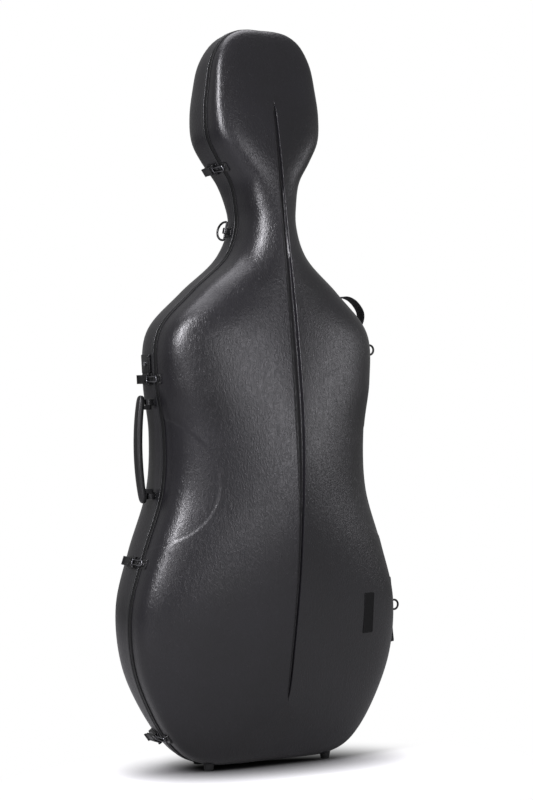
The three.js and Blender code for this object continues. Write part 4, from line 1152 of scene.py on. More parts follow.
@dataclass
class Rims:
    """The profiles round both shells' edges and the seal between them."""

    face: float = 1.5
    height: float = 8.0
    inner_inset: float = 8.0
    soft: float = 1.3
    seal_half: float = 1.2
    seal_inner: float = 6.0
    spacing: float = 6.0
    seal_corner: float = 0.9

    def swept(self, section: Array) -> Shape:
        """A section carried round the outline.

        Args:
            section: Its points as places outward and to the back.

        Returns:
            The swept shape.
        """
        rim, normal = FORM.outline.loop(self.spacing)
        flat = rim[:, None, :] + normal[:, None, :] * section[None, :, :1]
        back = np.broadcast_to(section[:, 1], flat.shape[:2])
        return Shape().grid(np.stack([flat[..., 0], back, flat[..., 1]], 2), close_u=True)

    def rim_section(self, half: Half) -> Array:
        """A rounded nose in front of a flat web.

        Args:
            half: The half that the rim belongs to.

        Returns:
            The section's points.
        """
        turn = np.linspace(0, np.pi / 2, 5)
        near = np.column_stack([self.soft * np.sin(turn), self.soft * (1 - np.cos(turn))])
        tip = FORM.rim_proud - self.soft
        nose = np.vstack([
            [[-self.inner_inset, 0]],
            near + [tip, 0],
            (near * [1, -1])[::-1] + [tip, self.height],
            [[-self.inner_inset, self.height]],
        ])
        return np.column_stack([nose[:, 0], half * (self.face + nose[:, 1])])

    def build(self) -> None:
        """Builds the rims and the seal."""
        # The lid's rim takes the darker finish: partly painted shade along the seam.
        for half, finish in ((Half.BASE, RIM), (Half.LID, SEAM_SHADE_RIM)):
            profile = self.swept(self.rim_section(half))
            make_piece(f"{half.label}_rim_profile", profile, finish, half.label, [f"{half.label}_rim"])
        middle = (FORM.seal_inset + self.seal_inner) / 2
        half_seal = (self.seal_inner - FORM.seal_inset) / 2
        seal = rounded_oblong(half_seal, self.seal_half, self.seal_corner, 4) - [middle, 0]
        make_piece("rim_seal_bead", self.swept(seal), RUBBER, "base", ["rim_seal"])


@dataclass
class Badge:
    """The blank plate on the lower right of the lid."""

    across: float = 176.9
    height: float = 263.0
    half_width: float = 12.5
    half_length: float = 37.0
    thickness: float = 1.0
    gap: float = 0.3
    corner: float = 2.5
    least_corner: float = 0.4
    insets: tuple[float, ...] = (0, 0, 0.25, 0.7, 1.3, 1.6, 2.2)
    rises: tuple[float, ...] = (-0.3, 0.7, 0.95, 1.0, 1.0, 0.7, 0.65)
    probe: float = 0.5

    def build(self) -> None:
        """Builds the plate: oblong rings that lie on the lid, a raised border and a sunk field.

        Each ring stands off the lid along its level normal, by its share of the thickness.
        """
        rises = np.array(self.rises) * self.thickness + self.gap
        rings = [rounded_oblong(self.half_width - i, self.half_length - i,
                                max(self.corner - i, self.least_corner), 5) for i in self.insets]
        flat = np.stack(rings) + [self.across, self.height]
        depth = FORM.depth_at(FORM.lid, flat[..., 0], flat[..., 1])
        beside = FORM.depth_at(FORM.lid, flat[..., 0] + self.probe, flat[..., 1])
        lean = (beside - depth) / self.probe
        length = np.sqrt(1 + lean**2)
        x = flat[..., 0] - lean / length * rises[:, None]
        y = -depth - rises[:, None] / length
        shape = Shape().grid(np.stack([x, y, flat[..., 1]], 2), cap=True)
        make_piece("badge_plate_blank", shape, BADGE, "lid", ["badge_plate"], sharp=70)


@dataclass
class Feet:
    """Four rubber feet under the bottom."""

    radius: float = 8.0
    flare: float = 2.5
    height: float = 8.0
    front_across: float = 122.1
    rear_across: float = 105.07
    front: float = -24.0
    rear: float = 48.0
    sides: int = 40
    profile: Points = (
        (-2.0, 0), (-0.6, 0.25), (0, 1.0), (0.2, 1.9), (-0.3, 2.5), (0.3, 3.2))
    brim: Pair = (1.6, 1.0)
    least_brim: float = 0.2
    overlap: float = 1.0
    probe_spacing: float = 1.5
    probe_margin: float = 60.0
    probe_reach: float = 0.5
    probe_rings: int = 240
    probe_points: int = 4
    probe_least: float = 0.01

    def ground(self, form: ShellForm, x: Array, y: Array) -> Array:
        """Height of a shell's underside, as the weighted mean of the nearest surface points.

        Args:
            form: The shell's form.
            x: Places across.
            y: Places to the back.

        Returns:
            The height over each place.
        """
        rim, normal = FORM.outline.loop(self.probe_spacing)
        beside = np.abs(np.abs(rim[:, 0]) - self.front_across) < self.probe_margin
        keep = beside & (rim[:, 1] < self.probe_margin)
        reach = (np.linspace(0, self.probe_reach, self.probe_rings) ** 3)[None, :].repeat(keep.sum(), 0)
        under = FORM.surface(form, rim[keep], normal[keep], reach).reshape(-1, 3)
        away = (x[:, None] - under[None, :, 0]) ** 2 + (y[:, None] - under[None, :, 1]) ** 2
        nearest = np.argsort(away, axis=1)[:, :self.probe_points]
        weight = 1 / (np.take_along_axis(away, nearest, 1) + self.probe_least)
        return (under[nearest, 2] * weight).sum(1) / weight.sum(1)

    def foot(self, half: Half, side: Side, place: Array) -> None:
        """Builds one foot: rings with a soft lower edge, the top one cut to the shell.

        Args:
            half: The half that it stands under.
            side: The side that it is on.
            place: Its middle, across and to the back.
        """
        wide = self.radius + self.flare
        rim, neck = self.brim
        profile = np.vstack([np.array(self.profile) + [self.radius, 0], [wide - rim, self.height - neck]])
        angle = np.linspace(0, 2 * np.pi, self.sides, endpoint=False)
        circle = np.column_stack([np.cos(angle), np.sin(angle)])
        rings = profile[:, :1, None] * circle[None] + place
        z = np.broadcast_to(profile[:, 1:] - self.height, rings.shape[:2])
        rows = np.concatenate([rings, z[..., None]], 2)
        top = circle * wide + place
        cut = self.ground(FORM.shell(half), top[:, 0], top[:, 1]) + self.overlap
        over = np.column_stack([top, np.maximum(cut, rows[-1, :, 2] + self.least_brim)])
        shape = Shape().grid(np.concatenate([rows, over[None]]), cap=True)
        name = f"{half.label}_{side.label}"
        make_piece(f"rubber_foot_{name}", shape, RUBBER, half.label, [f"foot_{name}"])

    def build(self) -> None:
        """Builds the four feet."""
        places = ((Half.LID, self.front_across, self.front), (Half.BASE, self.rear_across, self.rear))
        for half, across, y in places:
            for side in Side:
                self.foot(half, side, np.array([side * across, y]))


class LatchPlace(Enum):
    """Where a latch sits on the left edge, as a share of the case's height."""

    BOTTOM = 0.041
    LOWER = 0.276
    SHOULDER = 0.522
    HEAD = 0.8105


@dataclass
class Latch:
    """A toggle latch: plate, lever, wire bail and keeper, and a lock in the shoulder one."""

    place: LatchPlace
    half_width: float = 10.5
    ear: float = 1.5
    plate_start: float = 10.1
    plate_end: float = 46.0
    plate_top: float = 2.5
    pin: Pair = (16.0, 6.0)
    pin_radius: float = 1.5
    ear_radius: float = 3.5
    cheek: float = 8.0
    cheek_wall: float = 1.5
    nose: float = 3.0
    lever_end: float = 47.0
    lever_top: float = 8.5
    skin: float = 1.5
    skin_start: float = 28.5
    lip_rise: float = 2.5
    lip_length: float = 5.0
    bail_at: Pair = (24.0, 5.0)
    bail_front: float = -13.0
    bail_half: float = 4.5
    wire: float = 1.1
    keeper_half: float = 9.0
    keeper_end: float = 24.0
    keeper_top: float = 2.0
    block_length: float = 34.0
    block_front: float = 13.0
    block_end: float = 44.0
    block_top: float = 4.0
    lock_radius: float = 4.0
    lock_rise: float = 2.3
    lip_power: float = 1.7
    overlap: float = 0.2
    corner: float = 2.5
    pin_proud: float = 0.4
    rivet_radius: float = 1.4
    rivet_inset: float = 3.0
    rib_inset: float = 3.2
    rib_half: float = 0.8
    rib_rise: float = 0.5
    rib_margins: Pair = (3.0, 2.0)
    bail_corner: float = 3.0
    keeper_corner: float = 2.0
    keeper_rivet_inset: float = 2.6
    hook_half: float = 3.0
    hook_gap: float = 0.4
    hook_foot: float = 1.0
    hook_line: Points = (
        (-17.0, 0.9), (-16.4, 0.2), (-15.6, 0), (-12.2, 0), (-11.5, 0.5))
    block_soft: float = 0.9
    bead_back: float = 5.0
    bead_half: float = 3.0
    bead_rise: float = 0.9
    bead_soft: float = 0.8
    collar_section: Points = (
        (0.3, -0.2), (0.3, 0.5), (0.6, 0.9), (1.4, 0.7), (1.7, -0.2))
    lock_foot: float = 0.9
    lock_soft: float = 0.1
    key_slot: tuple[float, float, float] = (0.6, 2.5, 0.55)
    key_depth: float = 1.5

    @property
    def label(self) -> str:
        """The latch's name in the frame's nodes."""
        return self.place.name.lower()

    def build(self) -> None:
        """Builds the latch's pieces."""
        self.seat = Seat.on_edge(self.place.value * FORM.height, Side.LEFT)
        name = f"latch_{self.label}"
        make_piece(f"{name}_base_plate", self.plate(), BLACK_METAL, "base", [f"{name}_plate"], bevel=0.25)
        make_piece(f"{name}_toggle", self.lever(), BLACK_METAL, f"{name}_lever", [f"{name}_lever"],
                   bevel=0.35)
        make_piece(f"{name}_wire", self.bail(), GUN_METAL, f"{name}_bail", [f"{name}_bail"])
        make_piece(f"{name}_catch", self.keeper(), BLACK_METAL, "lid", [f"{name}_keeper"], bevel=0.25)
        if self.place is LatchPlace.SHOULDER:
            make_piece("lock_cylinder", self.lock(), BRIGHT_METAL, "lock_barrel", ["lock_barrel"],
                       bevel=0.15)

    def plate(self) -> Shape:
        """The plate with its two ears, pin stubs and rivets.

        Returns:
            The plate's shape.
        """
        end = self.plate_end
        middle, half = (self.plate_start + end) / 2, (end - self.plate_start) / 2
        shape = Shape(self.seat).plate(FORM.base, (0, middle), (self.half_width, half), self.plate_top,
                              self.corner)
        back, out = self.pin
        foot = self.plate_top - self.ear
        dome = arc(self.pin, self.ear_radius, 0, 1, 13)
        ear = np.vstack([[[back + self.ear_radius, foot]], dome, [[back - self.ear_radius, foot]]])
        for near, far in both_ways(self.half_width - self.ear, self.half_width):
            shape.prism(ear, near, far)
        for near, far in both_ways(self.cheek - self.cheek_wall, self.half_width + self.pin_proud):
            shape.rod((near, back, out), far - near, self.pin_radius, Axis.ALONG)
        for side in Side:
            shape.rivet(side * (self.half_width - self.rivet_inset), end - self.rivet_inset,
                        self.plate_top, self.rivet_radius)
        if self.place is LatchPlace.SHOULDER:
            self.lock_block(shape)
            self.collar(shape)
        return shape

    @property
    def lock_at(self) -> Pair:
        """The lock's axis: its place along the edge and to the back."""
        return self.half_width + self.block_length / 2, (self.block_front + self.block_end) / 2

    def lock_block(self, shape: Shape) -> None:
        """Adds the raised block over the latch with a bead down its front.

        Args:
            shape: The plate's shape.
        """
        half = (self.block_length / 2, (self.block_end - self.block_front) / 2)
        shape.plate(FORM.base, self.lock_at, half, self.block_top, self.corner, self.block_soft)
        bead = (self.lock_at[0], self.block_front + self.bead_back)
        shape.plate(FORM.base, bead, (half[0] - self.corner, self.bead_half),
                    self.block_top + self.bead_rise, self.corner, self.bead_soft)

    def collar(self, shape: Shape) -> None:
        """Adds a raised ring round the lock: a small section turned about the lock's axis.

        Args:
            shape: The plate's shape.
        """
        ring = np.array(self.collar_section) + [self.lock_radius, self.block_top]
        angle = np.linspace(0, 2 * np.pi, 36, endpoint=False)
        along, back = self.lock_at
        local = np.zeros((len(angle), len(ring), 3))
        local[..., 0] = along + np.cos(angle)[:, None] * ring[None, :, 0]
        local[..., 1] = back + np.sin(angle)[:, None] * ring[None, :, 0]
        local[..., 2] = ring[None, :, 1]
        shape.grid(local, close_u=True)

    def lever(self) -> Shape:
        """The toggle: two cheeks with round noses and a bent top skin with a lifted lip.

        Returns:
            The toggle's shape.
        """
        back, out = self.pin
        top, end = self.lever_top, self.lever_end
        high, low = top - self.overlap, out - self.nose + self.skin
        nose = arc(self.pin, self.nose, 0.5, 1.5, 13)
        cheek = np.vstack([[[end, high], [back, high]], nose[1:], [[end, low]]])
        shape = Shape(self.seat)
        for near, far in both_ways(self.cheek - self.cheek_wall, self.cheek):
            shape.prism(cheek, near, far)
        share = np.linspace(0, 1, 10)
        over = np.column_stack([end + self.lip_length * share,
                                top + self.lip_rise * share**self.lip_power])
        skin = np.vstack([[[self.skin_start, top]], over, (over - [0, self.skin])[::-1],
                          [[self.skin_start, top - self.skin]]])
        shape.prism(skin, -self.cheek, self.cheek)
        start, stop = self.skin_start + self.rib_margins[0], end - self.rib_margins[1]
        ridge = top + self.rib_rise
        rib = np.array([[start, high], [start, ridge], [stop, ridge], [stop, high]])
        middle = self.cheek - self.rib_inset
        for near, far in both_ways(middle - self.rib_half, middle + self.rib_half):
            shape.prism(rib, near, far)
        return shape

    def bail(self) -> Shape:
        """The wire bail: a rounded loop and the bar that crosses the lever's cheeks.

        Returns:
            The bail's shape.
        """
        back, out = self.bail_at
        raised = replace(self.seat, origin=self.seat.origin + out * self.seat.out)
        middle = (self.bail_front + back) / 2
        half = (back - self.bail_front) / 2
        loop = rounded_oblong(self.bail_half, half, self.bail_corner, 6) + [0, middle]
        shape = Shape(raised).tube(loop, self.wire, closed=True)
        reach = self.cheek - self.cheek_wall / 4
        return shape.rod((-reach, back, 0), 2 * reach, self.wire, Axis.ALONG)

    def keeper(self) -> Shape:
        """The catch on the lid: a riveted plate with a low rounded hook under the bail.

        Returns:
            The catch's shape.
        """
        middle = -(self.plate_start + self.keeper_end) / 2
        half = (self.keeper_end - self.plate_start) / 2
        shape = Shape(self.seat).plate(FORM.lid, (0, middle), (self.keeper_half, half), self.keeper_top,
                              self.keeper_corner)
        top = self.bail_at[1] - self.wire - self.hook_gap
        foot = self.keeper_top - self.hook_foot
        line = np.array(self.hook_line) * [1, -1] + [0, top]
        hook = np.vstack([[line[0, 0], foot], line, [line[-1, 0], foot]])
        shape.prism(hook, -self.hook_half, self.hook_half)
        for side in Side:
            shape.rivet(side * (self.keeper_half - self.keeper_rivet_inset),
                        -self.keeper_end + self.rivet_inset, self.keeper_top, self.rivet_radius)
        return shape

    def lock(self) -> Shape:
        """The lock's barrel: a disc round a sunk key slot, on a solid foot.

        Returns:
            The barrel's shape.
        """
        along, back = self.lock_at
        foot, top = self.block_top - self.lock_foot, self.block_top + self.lock_rise
        floor = top - self.key_depth
        shape = Shape(self.seat).rod((along, back, foot), floor - foot, self.lock_radius, Axis.OUT,
                            self.lock_soft)
        turn = np.linspace(0, 2 * np.pi, 40, endpoint=False)
        outer = self.lock_radius * np.column_stack([np.cos(turn), np.sin(turn)])
        slot = rounded_oblong(*self.key_slot, 9)
        start = floor - self.lock_soft
        rows = [np.column_stack([ring + [along, back], np.full(len(ring), out)])
                for ring, out in ((outer, start), (outer, top), (slot, top), (slot, start))]
        return shape.grid(np.stack(rows), close_u=True)


@dataclass
class Hinges:
    """Three hinges on one straight line at the right edge."""

    heights: tuple[float, ...] = (0.533, 0.227, 0.167)
    line_top: float = 0.558
    line_bottom: float = 0.198
    line_out: float = 8.0
    length: float = 42.0
    knuckle: float = 4.5
    pin: float = 2.0
    leaf_reach: float = 34.0
    leaf: float = 2.5
    edge: float = 10.1
    ground_back: float = 14.0
    corner: float = 3.0
    gap: float = 0.3
    rivet_inset: float = 6.0
    rivet_radius: float = 2.2
    cap_radius: float = 3.0
    cap_rise: float = 1.2

    def seat(self, height: float) -> Seat:
        """A seat on the hinge line, with its axes down the line, to the back and outward.

        Args:
            height: Its height.

        Returns:
            The seat.
        """
        ends = [FORM.outline.at(share * FORM.height, Side.RIGHT)[0] + [self.line_out, 0]
                for share in (self.line_bottom, self.line_top)]
        up = (ends[1] - ends[0]) / np.linalg.norm(ends[1] - ends[0])
        place = ends[0] + up * (height - ends[0][1]) / up[1]
        down = np.array([-up[0], 0, -up[1]])
        back = np.array([0.0, 1.0, 0.0])
        return Seat(np.array([place[0], 0, place[1]]), down, back, np.cross(down, back))

    def leaf_shape(self, seat: Seat, side: Half, spans: Sequence[Pair]) -> Shape:
        """One leaf: a plate on the shell, arms up to the line and round knuckles.

        An arm's outline runs from under the knuckle over the plate's edge and back to its top.

        Args:
            seat: The hinge's seat.
            side: The half that the leaf is fixed to.
            spans: Where its knuckles start and end along the line.

        Returns:
            The leaf's shape.
        """
        form = FORM.shell(side)
        half = self.length / 2
        drop = float(seat.ground(form, np.zeros(1), np.full(1, side * self.ground_back))[0])
        top = drop + self.leaf
        middle = side * (self.edge + self.leaf_reach) / 2
        half_back = (self.leaf_reach - self.edge) / 2
        shape = Shape(seat).plate(form, (0, middle), (half, half_back), top, self.corner)
        arm = np.array([
            [0, -self.knuckle + 1.2], [self.edge, drop + 0.4], [self.edge + 3.5, top - 0.4],
            [self.edge + 2.5, top + 2], [3.2, self.knuckle - 1.4], [0, self.knuckle]])
        arm[:, 0] *= side
        for start, end in spans:
            shape.prism(arm, start, end)
            shape.rod((start, 0, 0), end - start, self.knuckle, Axis.ALONG)
        for along in (-half + self.rivet_inset, 0, half - self.rivet_inset):
            shape.rivet(along, side * (self.leaf_reach - self.rivet_inset), top, self.rivet_radius)
        return shape

    def build(self) -> None:
        """Builds the three hinges."""
        half, third = self.length / 2, self.length / 6
        for number, share in enumerate(self.heights, 1):
            seat = self.seat(share * FORM.height)
            name = f"hinge_{number}"
            base = self.leaf_shape(seat, Half.BASE, both_ways(third + self.gap, half))
            lid = self.leaf_shape(seat, Half.LID, [(-third, third)])
            make_piece(f"{name}_back_leaf", base, BLACK_METAL, "base", [f"{name}_base_leaf"], bevel=0.3)
            make_piece(f"{name}_front_leaf", lid, BLACK_METAL, "lid", [f"{name}_lid_leaf"], bevel=0.3)
            head = arc((0, 0), 1, 0, 0.5, 5) * [self.cap_radius, self.cap_rise]
            cap = np.vstack([[0, -self.gap], [self.cap_radius, -self.gap], head])
            pin = Shape(seat).rod((-half, 0, 0), self.length, self.pin, Axis.ALONG)
            for end in (1, -1):
                pin.turned((end * half, 0, 0), cap * [1, end], Axis.ALONG)
            make_piece(f"{name}_rod", pin, BRIGHT_METAL, "base", [f"{name}_pin"])


@dataclass
class Handle:
    """The carry handle: a bowed grip that swings between two posts."""

    height: float = 567.1
    back: float = 24.0
    pivot_out: float = 16.5
    grip_out: float = 38.0
    end_out: float = 29.5
    half_length: float = 96.0
    half_width: float = 9.0
    half_thickness: float = 6.5
    span: float = 84.0
    post: float = 5.0
    post_nose: float = 6.5
    lug: float = 4.0
    lug_radius: float = 6.5
    pin: float = 3.0
    pin_sunk: float = 1.0
    gap: float = 0.4
    end_power: int = 26
    end_root: float = 0.4
    taper: float = 0.12
    least_size: float = 0.02
    squareness: float = 3.2
    plate_margin: Pair = (2.0, 5.0)
    plate_rise: float = 1.4
    plate_corner: float = 2.5
    rivet_out: float = 2.2
    rivet_radius: float = 1.6

    def grip(self, seat: Seat) -> Shape:
        """The grip: a rounded section carried along a parabola, drawn in at both ends.

        The section is a superellipse whose size falls off with a high power of the place along
        the grip, so that its ends are blunt and rounded.

        Args:
            seat: The handle's seat.

        Returns:
            The grip's shape.
        """
        along = np.sin(np.linspace(-np.pi / 2, np.pi / 2, 72))
        out = self.grip_out + (self.end_out - self.grip_out) * along**2
        blunt = (1 - np.abs(along) ** self.end_power) ** self.end_root
        size = np.maximum(blunt * (1 - self.taper * np.abs(along) ** 3), self.least_size)[:, None]
        turn = np.linspace(0, 2 * np.pi, 40, endpoint=False)
        power = 2 / self.squareness
        up, across = (np.sign(v) * np.abs(v) ** power for v in (np.cos(turn), np.sin(turn)))
        lean = np.arctan(np.gradient(out, self.half_length * along))[:, None]
        thick = self.half_thickness * size * up
        local = np.stack([
            self.half_length * along[:, None] - np.sin(lean) * thick,
            self.back + self.half_width * size * across,
            out[:, None] + np.cos(lean) * thick,
        ], axis=2)
        return Shape(seat).grid(local, cap=True)

    def build(self) -> None:
        """Builds the grip with its two lugs and pins, and its two posts."""
        seat = Seat.on_edge(self.height, Side.LEFT)
        shape = self.grip(seat)
        lug_end = self.span - self.post - self.gap
        tip = arc((self.back, self.pivot_out), self.lug_radius, 1, 2, 13)
        lug = np.vstack([tip, [[self.back + self.lug_radius, self.end_out],
                               [self.back - self.lug_radius, self.end_out]]])
        for near, far in both_ways(lug_end - 2 * self.lug, lug_end):
            shape.prism(lug, near, far)
        for near, far in both_ways(lug_end - self.pin_sunk, self.span + self.post / 2):
            shape.rod((near, self.back, self.pivot_out), far - near, self.pin, Axis.ALONG)
        make_piece("handle_grip_moulding", shape, PLASTIC, "handle", ["handle_grip"], bevel=0.5, sharp=50)
        for name, side in (("upper", 1), ("lower", -1)):
            self.post_piece(seat, name, side)

    def post_piece(self, seat: Seat, name: str, side: int) -> None:
        """Builds one post: a riveted plate and a round-topped bracket about the pin.

        Args:
            seat: The handle's seat.
            name: The post's name.
            side: Which end of the handle it holds.
        """
        middle = side * self.span
        out, radius = self.pivot_out, self.post_nose
        top = arc((self.back, out), radius, 0, 1, 15)
        ground = float(seat.ground(FORM.base, np.full(1, middle), np.full(1, self.back))[0])
        post = np.vstack([top, [[self.back - radius, ground - 1], [self.back + radius, ground - 1]]])
        shape = Shape(seat).prism(post, middle - self.post, middle + self.post)
        wide, deep = self.plate_margin
        face = ground + self.plate_rise
        shape.plate(FORM.base, (middle, self.back), (self.post + wide, radius + deep), face,
                    self.plate_corner)
        for end in (-1, 1):
            shape.rivet(middle, self.back + end * (radius + self.rivet_out), face, self.rivet_radius)
        make_piece(f"handle_post_{name}", shape, BLACK_METAL, "base", [f"handle_bracket_{name}"],
                   bevel=0.5)


@dataclass
class StrapRing:
    """A wire ring for a carrying strap, on its bracket."""

    name: str
    height: float
    side: Side
    half_width: float = 9.0
    reach: float = 38.0
    turn: float = 0.0
    back: float = 18.0
    bar_out: float = 9.0
    wire: float = 2.0
    lug_radius: float = 5.5
    plate_top: float = 2.2
    plate_half: float = 9.0
    plate_front: float = 10.2
    plate_end: float = 34.0
    plate_corner: float = 2.5
    lug_half: float = 5.0
    overlap: float = 0.8
    hole_gap: float = 0.4
    rivet_along: float = 5.5
    rivet_inset: float = 4.0
    ring_corner: float = 3.0

    def build(self) -> None:
        """Builds the ring and its bracket."""
        seat = Seat.on_edge(self.height, self.side)
        lug_half = min(self.lug_half, self.half_width - 2 * self.wire)
        middle = (self.plate_front + self.plate_end) / 2
        half = (self.plate_end - self.plate_front) / 2
        shape = Shape(seat).plate(FORM.base, (0, middle), (self.plate_half, half), self.plate_top,
                              self.plate_corner)
        bar = (self.back, self.bar_out)
        arch = arc(bar, self.lug_radius, 0, 1, 15)
        hole = arc(bar, self.wire + self.hole_gap, 0, 1, 15)
        foot = self.plate_top - self.overlap
        for sign in (-1, 1):
            self.half_arch(shape, arch, hole, foot, lug_half, sign)
        for end in (-1, 1):
            shape.rivet(end * self.rivet_along, self.plate_end - self.rivet_inset, self.plate_top)
        make_piece(f"{self.name}_holder", shape, BLACK_METAL, "base", [f"{self.name}_bracket"], bevel=0.3)
        tilt = np.radians(90 + self.turn)
        back = seat.back * np.cos(tilt) + seat.out * np.sin(tilt)
        pivot = seat.place(np.array([0, self.back, self.bar_out]))
        swung = Seat(pivot, seat.along, back, np.cross(seat.along, back))
        make_piece(f"{self.name}_loop", Shape(swung).tube(self.path(), self.wire, closed=True, sides=18),
                   BLACK_METAL, self.name, [self.name])

    def half_arch(self, shape: Shape, arch: Array, hole: Array, foot: float,
                  lug_half: float, sign: int) -> None:
        """Adds one half of the lug: an arch whose hole the ring's bar turns in.

        Args:
            shape: The bracket's shape.
            arch: The lug's round outline.
            hole: The hole's upper half.
            foot: Where the lug meets the plate.
            lug_half: Half the lug's length.
            sign: 1 for the half to the back, -1 for the front one.
        """
        size = len(arch) // 2 + 1
        outer = arch[:size] if sign > 0 else arch[-size:][::-1]
        upper = hole[:size] if sign > 0 else hole[-size:][::-1]
        lower = np.column_stack([upper[:, 0], 2 * self.bar_out - upper[:, 1]])
        edge = self.back + sign * self.lug_radius
        outline = np.vstack([outer, upper[::-1], lower[1:], [[self.back, foot], [edge, foot]]])
        shape.prism(outline, -lug_half, lug_half)

    def path(self) -> Array:
        """The ring's line: a straight bar with round corners, long sides and a round far end.

        Returns:
            Its points, along the bar and outward.
        """
        corner = self.ring_corner
        quarter = np.linspace(0, np.pi / 2, 6)
        near = np.column_stack([self.half_width - corner * (1 - np.sin(quarter)),
                                corner * (1 - np.cos(quarter))])
        far = arc((0, self.reach - self.half_width), self.half_width, 0, 1, 25)
        return np.vstack([near, far, (near * [-1, 1])[::-1]])


def band(seat: Seat, line: Array, half_width: float, thickness: float, middle: float) -> Shape:
    """A flat band of webbing with rounded edges carried along a line.

    Args:
        seat: The seat.
        line: The line's points, along the seat and outward.
        half_width: Half the band's width.
        thickness: Its thickness.
        middle: Its middle's place to the back.

    Returns:
        The band's shape, whose map runs along it and across it in metres.
    """
    tangent = np.gradient(line, axis=0)
    tangent /= np.linalg.norm(tangent, axis=1)[:, None]
    across = np.column_stack([-tangent[:, 1], tangent[:, 0]])
    section = rounded_oblong(thickness / 2, half_width, thickness * BAND_EDGE_SHARE, 4)
    flat = line[:, None, :] + across[:, None, :] * section[None, :, :1]
    back = np.broadcast_to(middle + section[:, 1], flat.shape[:2])
    run = np.concatenate([[0], np.cumsum(np.linalg.norm(np.diff(line, axis=0), axis=1))])
    uv = np.stack(np.broadcast_arrays(run[:, None] * MM, section[None, :, 1] * MM), 2)
    return Shape(seat).grid(np.stack([flat[..., 0], back, flat[..., 1]], 2), cap=True, uv=uv)


@dataclass
class GrabStrap:
    """The webbing loop at the upper right and the plate that its ends are fixed to."""

    height: float = 801.65
    back: float = 25.0
    half_width: float = 12.5
    thickness: float = 2.5
    half_span: float = 38.0
    reach: float = 46.0
    plate_half: float = 44.0
    plate_top: float = 2.0
    plate_front: float = 10.2
    plate_corner: float = 3.0
    gap: float = 0.3
    rivet_insets: Pair = (6.0, 14.0)
    rivet_back: float = 3.2

    def build(self) -> None:
        """Builds the loop and its riveted plate."""
        seat = Seat.on_edge(self.height, Side.RIGHT)
        foot = self.plate_top + self.gap
        shares = np.array(STRAP_ROUTE_SHARES)
        knots = np.column_stack([-shares[:, 0] * self.half_span, foot + shares[:, 1] * self.reach])
        strap = band(seat, through_points(knots, 8), self.half_width, self.thickness, self.back)
        make_piece("grab_strap_webbing", strap, WEBBING, "base", ["grab_strap"])
        end = self.back + self.half_width
        middle, half = (self.plate_front + end) / 2, (end - self.plate_front) / 2
        shape = Shape(seat).plate(FORM.base, (0, middle), (self.plate_half, half), self.plate_top,
                              self.plate_corner)
        for side in Side:
            for inset in self.rivet_insets:
                shape.rivet(side * (self.half_span - inset), self.plate_front + self.rivet_back,
                            self.plate_top)
        make_piece("grab_strap_anchor", shape, BLACK_METAL, "base", ["grab_strap_plate"])


@dataclass
class Linings:
    """The plush-covered foam inside both shells."""

    inset: float = 3.7
    thickness: float = 10.0
    edge: float = 10.1
    roll: float = 4.0
    rings: int = 36
    outside_step: int = 3
    roll_rings: int = 8
    spacing: float = 9.0
    inner_groove: Pair = (0.85, 0.1)

    def build(self) -> None:
        """Builds both linings: the hidden outside, a rolled edge and the inside."""
        rim, normal = FORM.outline.loop(self.spacing)
        start, inner = self.edge + self.roll, self.inset + self.thickness
        for form in (FORM.lid, FORM.base):
            reach = FORM.rings(form, self.rings)[None, :].repeat(len(rim), 0)
            outside = FORM.inside(form, rim, normal, reach[:, ::self.outside_step], self.inset,
                                  self.inner_groove, start)
            across = np.linspace(0, 1, self.roll_rings)
            roll = self.edge + self.roll * (1 - np.sqrt(1 - (2 * across - 1) ** 2))
            place = self.inset + self.thickness * across
            lip = np.stack([
                rim[:, :1] - normal[:, :1] * place,
                np.broadcast_to(form.half * roll, (len(rim), self.roll_rings)),
                rim[:, 1:] - normal[:, 1:] * place], 2)
            inside = FORM.inside(form, rim, normal, reach, inner, self.inner_groove, start)
            rows = np.concatenate([outside[:, ::-1], lip[:, 1:-1], inside], 1)
            shape = Shape().grid(rows, close_u=True, close_v=False)
            body = form.half.label
            piece = make_piece(f"{body}_lining_foam", shape, PLUSH, body, [f"{body}_lining"],
                               merge=0.01, sharp=80)


@dataclass(frozen=True)
class Fitting:
    """A foam fitting: its node, its body and how it is softened."""

    node: str
    body: str
    voxel: float
    rounds: int


